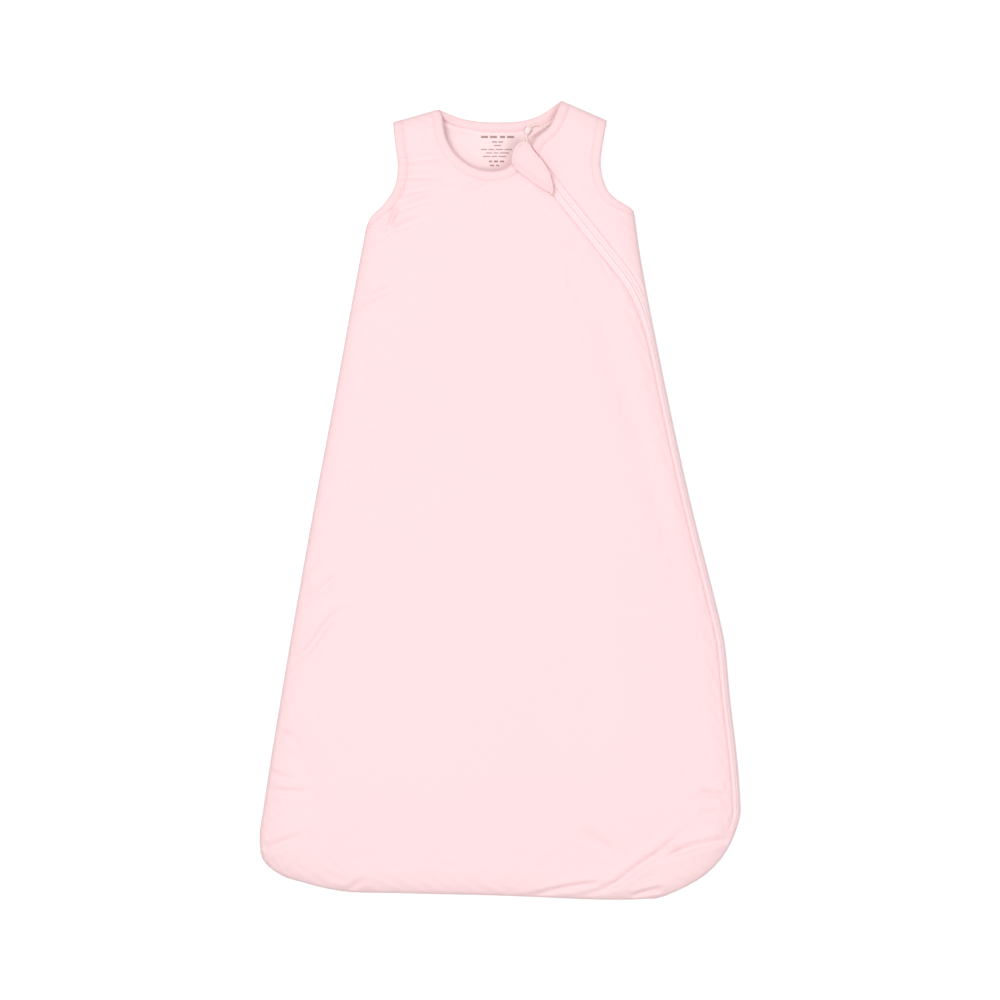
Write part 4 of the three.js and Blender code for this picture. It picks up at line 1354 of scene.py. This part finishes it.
def plastic_material(name, colour, roughness, metallic=0):
    material, tree, shader = new_material(name)
    grain = noise(tree, put(tree, "TexCoord").outputs["Object"], grain_scale, grain_detail)
    spread = {"Value": grain, "To Min": roughness - roughness_spread, "To Max": roughness + roughness_spread}
    colour = linear(colour)
    worn = (*[part * worn_share for part in colour[:3]], 1)
    feed(tree, shader, {
        "Metallic": metallic,
        "Roughness": put(tree, "MapRange", spread).outputs["Result"],
        "Base Color": drifting(tree, grain, colour, worn),
        "Normal": bump(tree, grain, grain_bump, grain_depth),
    })
    return material


# %% Coils
coil_nylon = plastic_material("coil nylon", (253, 220, 223), 0.5)
enamel = plastic_material("enamelled zinc", (247, 214, 218), 0.35)
stop_metal = plastic_material("stop metal", (214, 180, 182), 0.35, 0.4)
loop_plastic = plastic_material("loop plastic", (252, 238, 228), 0.45)
clasp_plastic = plastic_material("clasp plastic", (236, 222, 224), 0.4)


def zip_coil(name, sign):
    run = zip_length - coil_first - coil_last
    count = int(run / coil_pitch)
    shift = 1 / 2 if sign > 0 else 0
    t = (coil_first + (np.arange(count) + shift) * run / count) / zip_length
    outer = coil_gap_half + coil_width
    under = Spots(beside(zip_line, t, sign * (tooth_inner + outer) / 2))
    base = tape_levels(under, sign > 0)[1] + gap
    ahead = left_normal(zip_line, t) * sign
    sideways = np.stack([ahead[:, 1], -ahead[:, 0]], -1)
    half = coil_height / 2
    rings = []
    for share, swell in tooth_shares:
        rings.append((mix(tooth_inner, outer, share), tooth_width * swell, half * swell, half))
    return beads(name, zip_line(t), ahead, sideways, base, rings, tooth_sides, coil_nylon)


# %% Zip
# The left side of the zip lies on the negative side of its line.
for side, sign in (("left", -1), ("right", 1)):
    ridden(zip_tape(side + "_tape", sign), "bag", "tape", "zip_tape_" + side)
ridden(end_fold(), "bag", "shell")
for side, sign in (("left", -1), ("right", 1)):
    coil = ridden(zip_coil(side + "_coil", sign), "bag", "coil", "zip_coil_" + side)
    print(side, "coil faces", len(coil.data.polygons))

# %% [markdown]
# The slider, its pull, the stops and the loop's clasp are cast or moulded, so their edges are round.
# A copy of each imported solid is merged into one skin, its flat faces are joined again, and a bevel
# rounds its edges.

# %% Slider, pull, stops and clasp
merge_distance = 0.00001
flat_angle = math.radians(2)
sharp_angle = math.radians(28)
smooth_angle = math.radians(35)
bevel_steps = 3
slider_round = 0.00025
pull_round = 0.0002
top_stop_round = 0.0002
bottom_stop_round = 0.0003
clasp_round = 0.0004


def rounded_copy(name, node, material, width, body, slot):
    mesh = bpy.data.objects[node].data.copy()
    obj = bpy.data.objects.new(name, mesh)
    bpy.context.scene.collection.objects.link(obj)
    mesh.materials.clear()
    mesh.materials.append(material)
    bpy.ops.object.select_all(action="DESELECT")
    obj.select_set(True)
    bpy.context.view_layer.objects.active = obj
    bpy.ops.object.mode_set(mode="EDIT")
    bpy.ops.mesh.select_all(action="SELECT")
    bpy.ops.mesh.remove_doubles(threshold=merge_distance)
    bpy.ops.mesh.dissolve_limited(angle_limit=flat_angle)
    bpy.ops.object.mode_set(mode="OBJECT")
    bevel = obj.modifiers.new("bevel", "BEVEL")
    bevel.width = width
    bevel.segments = bevel_steps
    bevel.limit_method = "ANGLE"
    bevel.angle_limit = sharp_angle
    bpy.ops.object.modifier_apply(modifier="bevel")
    bpy.ops.object.shade_smooth_by_angle(angle=smooth_angle)
    return ridden(obj, body, slot, node)


rounded_copy("slider_body", "zip_slider", enamel, slider_round, "slider", "slider")
rounded_copy("pull_tab", "zip_pull", enamel, pull_round, "pull", "slider")
rounded_copy("bottom_stop", "zip_bottom_stop", stop_metal, bottom_stop_round, "bag", "stop")
for side in ("left", "right"):
    rounded_copy(side + "_top_stop", "zip_top_stop_" + side, stop_metal, top_stop_round, "bag", "stop")
rounded_copy("loop_clasp", "tag_clasp", clasp_plastic, clasp_round, "bag", "clasp")

# %% [markdown]
# The hang loop is one thin ring of cream plastic that lies inside the neck.

# %% Hang loop
loop_steps, loop_sides = 72, 12
loop_low, loop_high = (Vector(corner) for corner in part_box("tag_loop"))
loop_thickness = loop_high.z - loop_low.z
loop_radius = (loop_high.x - loop_low.x - loop_thickness) / 2
bpy.ops.object.select_all(action="DESELECT")
bpy.ops.mesh.primitive_torus_add(
    location=(loop_low + loop_high) / 2, major_radius=loop_radius, minor_radius=loop_thickness / 2,
    major_segments=loop_steps, minor_segments=loop_sides,
)
hang_loop = bpy.context.object
hang_loop.name = "hang_loop"
bpy.ops.object.transform_apply(location=True, rotation=True, scale=True)
bpy.ops.object.shade_smooth()
hang_loop.data.materials.append(loop_plastic)
ridden(hang_loop, "bag", "loop", "tag_loop")
print("loop radius", round(loop_radius, 4))

# %% [markdown]
# The guard is a leaf of the same cloth over the top of the zip. It is sewn down along its left edge,
# its free edge is bound in rib, and it is turned back by hand to reach the slider. Its places are
# given along and across the zip.

# %% Sizes of the guard
guard_length = 0.053
guard_width = 0.023
guard_overhang = 0.009
guard_across = 0.0176
guard_seam_shares = [(0.208, 0), (0.35, 0.03), (0.53, 0.135), (0.747, 0.27), (0.938, 0.457)]
guard_free_shares = [
    (1, 0.509), (0.928, 0.67), (0.777, 0.848), (0.674, 0.943), (0.483, 1), (0.255, 0.983),
    (0.113, 1), (0.03, 0.92), (0, 0.78), (0.01, 0.51), (0.113, 0.148), (0.208, 0),
]
guard_seat = 0.0005
guard_rise = 0.0029
guard_ramp = 0.006
guard_edge_width = 0.0022
guard_edge_wrap = 0.00035
guard_puff = 0.0009
guard_full_width = 0.012
guard_tip_share = 1 / 6
guard_turn_reach = 0.0016
guard_tuck_share = 0.6
guard_lap_shares = np.array([1.15, 1.05, 0.7])
guard_fold_share = 1 / 3
guard_rib_share = 0.5
guard_wrap_share = 0.3
guard_ripple_share = 1.7
guard_rows, guard_columns, guard_rib_steps, guard_seam_steps = 61, 25, 70, 60
guard_stitch_out = 0.0005
guard_shell_lift = lining_thickness + gap
level_lining_top = shell_thickness + gap * 3 + lining_thickness * 2 + padding_thickness + room_inside
level_shell_top = level_lining_top + gap * 2 + padding_thickness + shell_thickness
guard_level = level_shell_top + guard_seat
print("guard", guard_length, "by", guard_width, "at", round(guard_level, 4))


# %% Guard
def guard_place(share):
    return place(share[0] * guard_length - guard_overhang, share[1] * guard_width - guard_across)


guard_seam = spline([guard_place(share) for share in guard_seam_shares])
guard_free = spline([guard_place(share) for share in guard_free_shares[::-1]])
guard_axis = way_between(guard_seam(0), guard_seam(1))


def guard_low(local):
    off = local - guard_seam(0)
    from_axis = guard_axis[0] * off[..., 1] - guard_axis[1] * off[..., 0]
    return guard_level + guard_rise * smooth(from_axis / guard_ramp)


def in_plan(local):
    return zip_point(local[..., 0], local[..., 1])


def guard_layer(name, low_lift, thickness, material, shown_puff):
    t, u = np.meshgrid(np.linspace(0, 1, guard_rows), np.linspace(0, 1, guard_columns), indexing="ij")
    seam, free = guard_seam(t), beside(guard_free, t, -guard_edge_width * guard_tuck_share)
    local = mix(seam, free, u[..., None])
    width = np.linalg.norm(free - seam, axis=-1)
    tip = np.clip(np.minimum(t, 1 - t) / guard_tip_share, 0, 1)
    puff = shown_puff * np.sin(math.pi * u) * np.minimum(width / guard_full_width, 1) * tip
    from_seam = u * width / guard_turn_reach
    low = guard_low(local) + low_lift - guard_seat * guard_tuck_share * (1 - smooth(from_seam))
    top = low + (thickness + puff) * mix(flat_end, 1, quarter_round(from_seam))
    return closed_sheet(name, in_plan(local), low, top, material)


def guard_rib():
    t = np.linspace(0, 1, guard_rib_steps)
    insets, turn, run = u_section(guard_edge_width * guard_lap_shares, guard_edge_width * guard_fold_share)
    tt, ii = np.meshgrid(t, insets, indexing="ij")
    local = beside(guard_free, tt, -ii)
    low = guard_low(local)
    top = low + guard_shell_lift + shell_thickness
    middle, half = (low + top) / 2, (top - low) / 2
    thick = binding_thickness * guard_rib_share
    swell = guard_edge_wrap + thick + ripple(tt * guard_free.length * guard_ripple_share)
    outer = lifted(in_plan(local), middle + turn * (half + swell))
    inner_local = beside(guard_free, tt, -ii - thick * (1 - np.abs(turn)))
    inner = lifted(in_plan(inner_local), middle + turn * (half + guard_edge_wrap * guard_wrap_share))
    return u_tube("guard_rib", outer, inner, t * guard_free.length, run, guard_rib_cloth)


def guard_crease_shade_stitches():
    """A row of deep pink stitches along the guard's sewn edge: painted shadow that draws the dark crease
    there.
    """
    t = np.linspace(row_start_share, 1 - row_start_share, guard_seam_steps)
    path = by_length(in_plan(beside(guard_seam, t, guard_stitch_out)))
    return stitch_row("guard_stitches", path, lambda places: np.full(len(places), guard_level), guard_crease_shade_thread)


guard_under = guard_layer("guard_under", 0, lining_thickness, lining_with_painted_light, 0)
guard_over = guard_layer("guard_over", guard_shell_lift, shell_thickness, guard_cloth, guard_puff)
ridden(guard_under, "guard", "lining", "guard_lining")
ridden(guard_over, "guard", "shell", "guard_shell")
ridden(guard_rib(), "guard", "binding", "guard_binding")
ridden(guard_crease_shade_stitches(), "bag", "binding")
print("guard seam", round(guard_seam.length, 4))

# %% [markdown]
# A small block of short plain bars in taupe ink lies inside the back of the neck. Each bar is a thin
# film on the lining.

# %% Ink bars
ink_thickness = 0.00005
ink_lift = 0.00006
ink_depth = 0.00008
ink = cloth_material("taupe ink", (188, 158, 152), (176, 146, 141), knit_pitch, ink_depth)
ink_steps, ink_least = 3, 4
ink_rows = [
    # Height in pixels, half height in pixels, and the ends of each bar in pixels.
    (136.5, 1.1, [(481, 488), (490, 497), (500, 505), (507, 514)]),
    (141.5, 0.6, [(492, 497), (498.5, 503)]),
    (145, 0.5, [(494, 501)]),
    (149, 0.45, [(481, 487), (488.5, 494), (495.5, 503), (504.5, 512)]),
    (152.5, 0.45, [(486, 492), (493.5, 498), (499.5, 509)]),
    (156, 0.45, [(483, 490), (491.5, 497), (498.5, 506)]),
    (161, 0.9, [(489, 492), (494, 498), (500, 504)]),
    (165, 0.7, [(490, 494), (496, 499)]),
]


def ink_bar(left, right, y, half):
    columns = np.linspace(left, right, max(int(right - left), ink_least))
    rows = np.linspace(y + half, y - half, ink_steps)
    spots = Spots(at_pixels(np.stack(np.meshgrid(columns, rows), -1)))
    level = squeezed(spots, back_heights(spots)["lining"][1]) + ink_lift
    return closed_sheet("bar", spots.places, level, level + ink_thickness, ink)


bars = [ink_bar(*ends, y, half) for y, half, bar_ends in ink_rows for ends in bar_ends]
ridden(joined("ink_bars", bars), "bag", "lining")
print("bars", len(bars))

# %% [markdown]
# The floor is plain and pale. It is drawn by the scene's light, with a little added for the camera
# alone, so that it is white where nothing shades it and keeps the soft shadow of the bag. Two large
# lamps nearly overhead give the even light of a photograph on a table.

# %% Floor and lights
floor_side = 12
floor_grey = 0.7
glow_strength = 0.5
room_strength = 0.56
lamp_size = 0.9
lamp_height = 2.3
key_place, key_power = (-0.8, 0.7, lamp_height), 23
fill_place, fill_power = (0.7, -0.6, lamp_height), 16
bpy.ops.object.select_all(action="DESELECT")
bpy.ops.mesh.primitive_plane_add(size=floor_side, location=(0, 0, -gap))
floor = bpy.context.object
floor.name = "floor"
bpy.ops.object.transform_apply(location=True, rotation=True, scale=True)
floor_material, tree, shader = new_material("floor")
feed(tree, shader, {"Base Color": (*[floor_grey] * 3, 1), "Roughness": 1, "Specular IOR Level": 0})
seen = put(tree, "LightPath").outputs["Is Camera Ray"]
glow = put(tree, "Emission", {"Strength": calc(tree, "MULTIPLY", seen, glow_strength)})
both = put(tree, "AddShader", {0: shader.outputs[0], 1: glow.outputs[0]})
feed(tree, tree.nodes["Material Output"], {"Surface": both.outputs[0]})
floor.data.materials.append(floor_material)

world = bpy.data.worlds.new("studio")
bpy.context.scene.world = world
world.use_nodes = True
tree = world.node_tree
rays = put(tree, "LightPath").outputs
seen = calc(tree, "MAXIMUM", rays["Is Camera Ray"], rays["Is Glossy Ray"])
seen = calc(tree, "MAXIMUM", seen, rays["Is Transmission Ray"])
strength = calc(tree, "ADD", calc(tree, "MULTIPLY", seen, 1 - room_strength), room_strength)
feed(tree, tree.nodes["Background"], {"Color": (1, 1, 1, 1), "Strength": strength})


def soft_light(name, location, power):
    data = bpy.data.lights.new(name, "AREA")
    data.shape = "SQUARE"
    data.size = lamp_size
    data.energy = power
    lamp = bpy.data.objects.new(name, data)
    lamp.location = location
    lamp.rotation_mode = "QUATERNION"
    lamp.rotation_quaternion = (-Vector(location)).to_track_quat("-Z", "Y")
    bpy.context.scene.collection.objects.link(lamp)


soft_light("key", key_place, key_power)
soft_light("fill", fill_place, fill_power)
bpy.context.scene.view_settings.view_transform = "Standard"
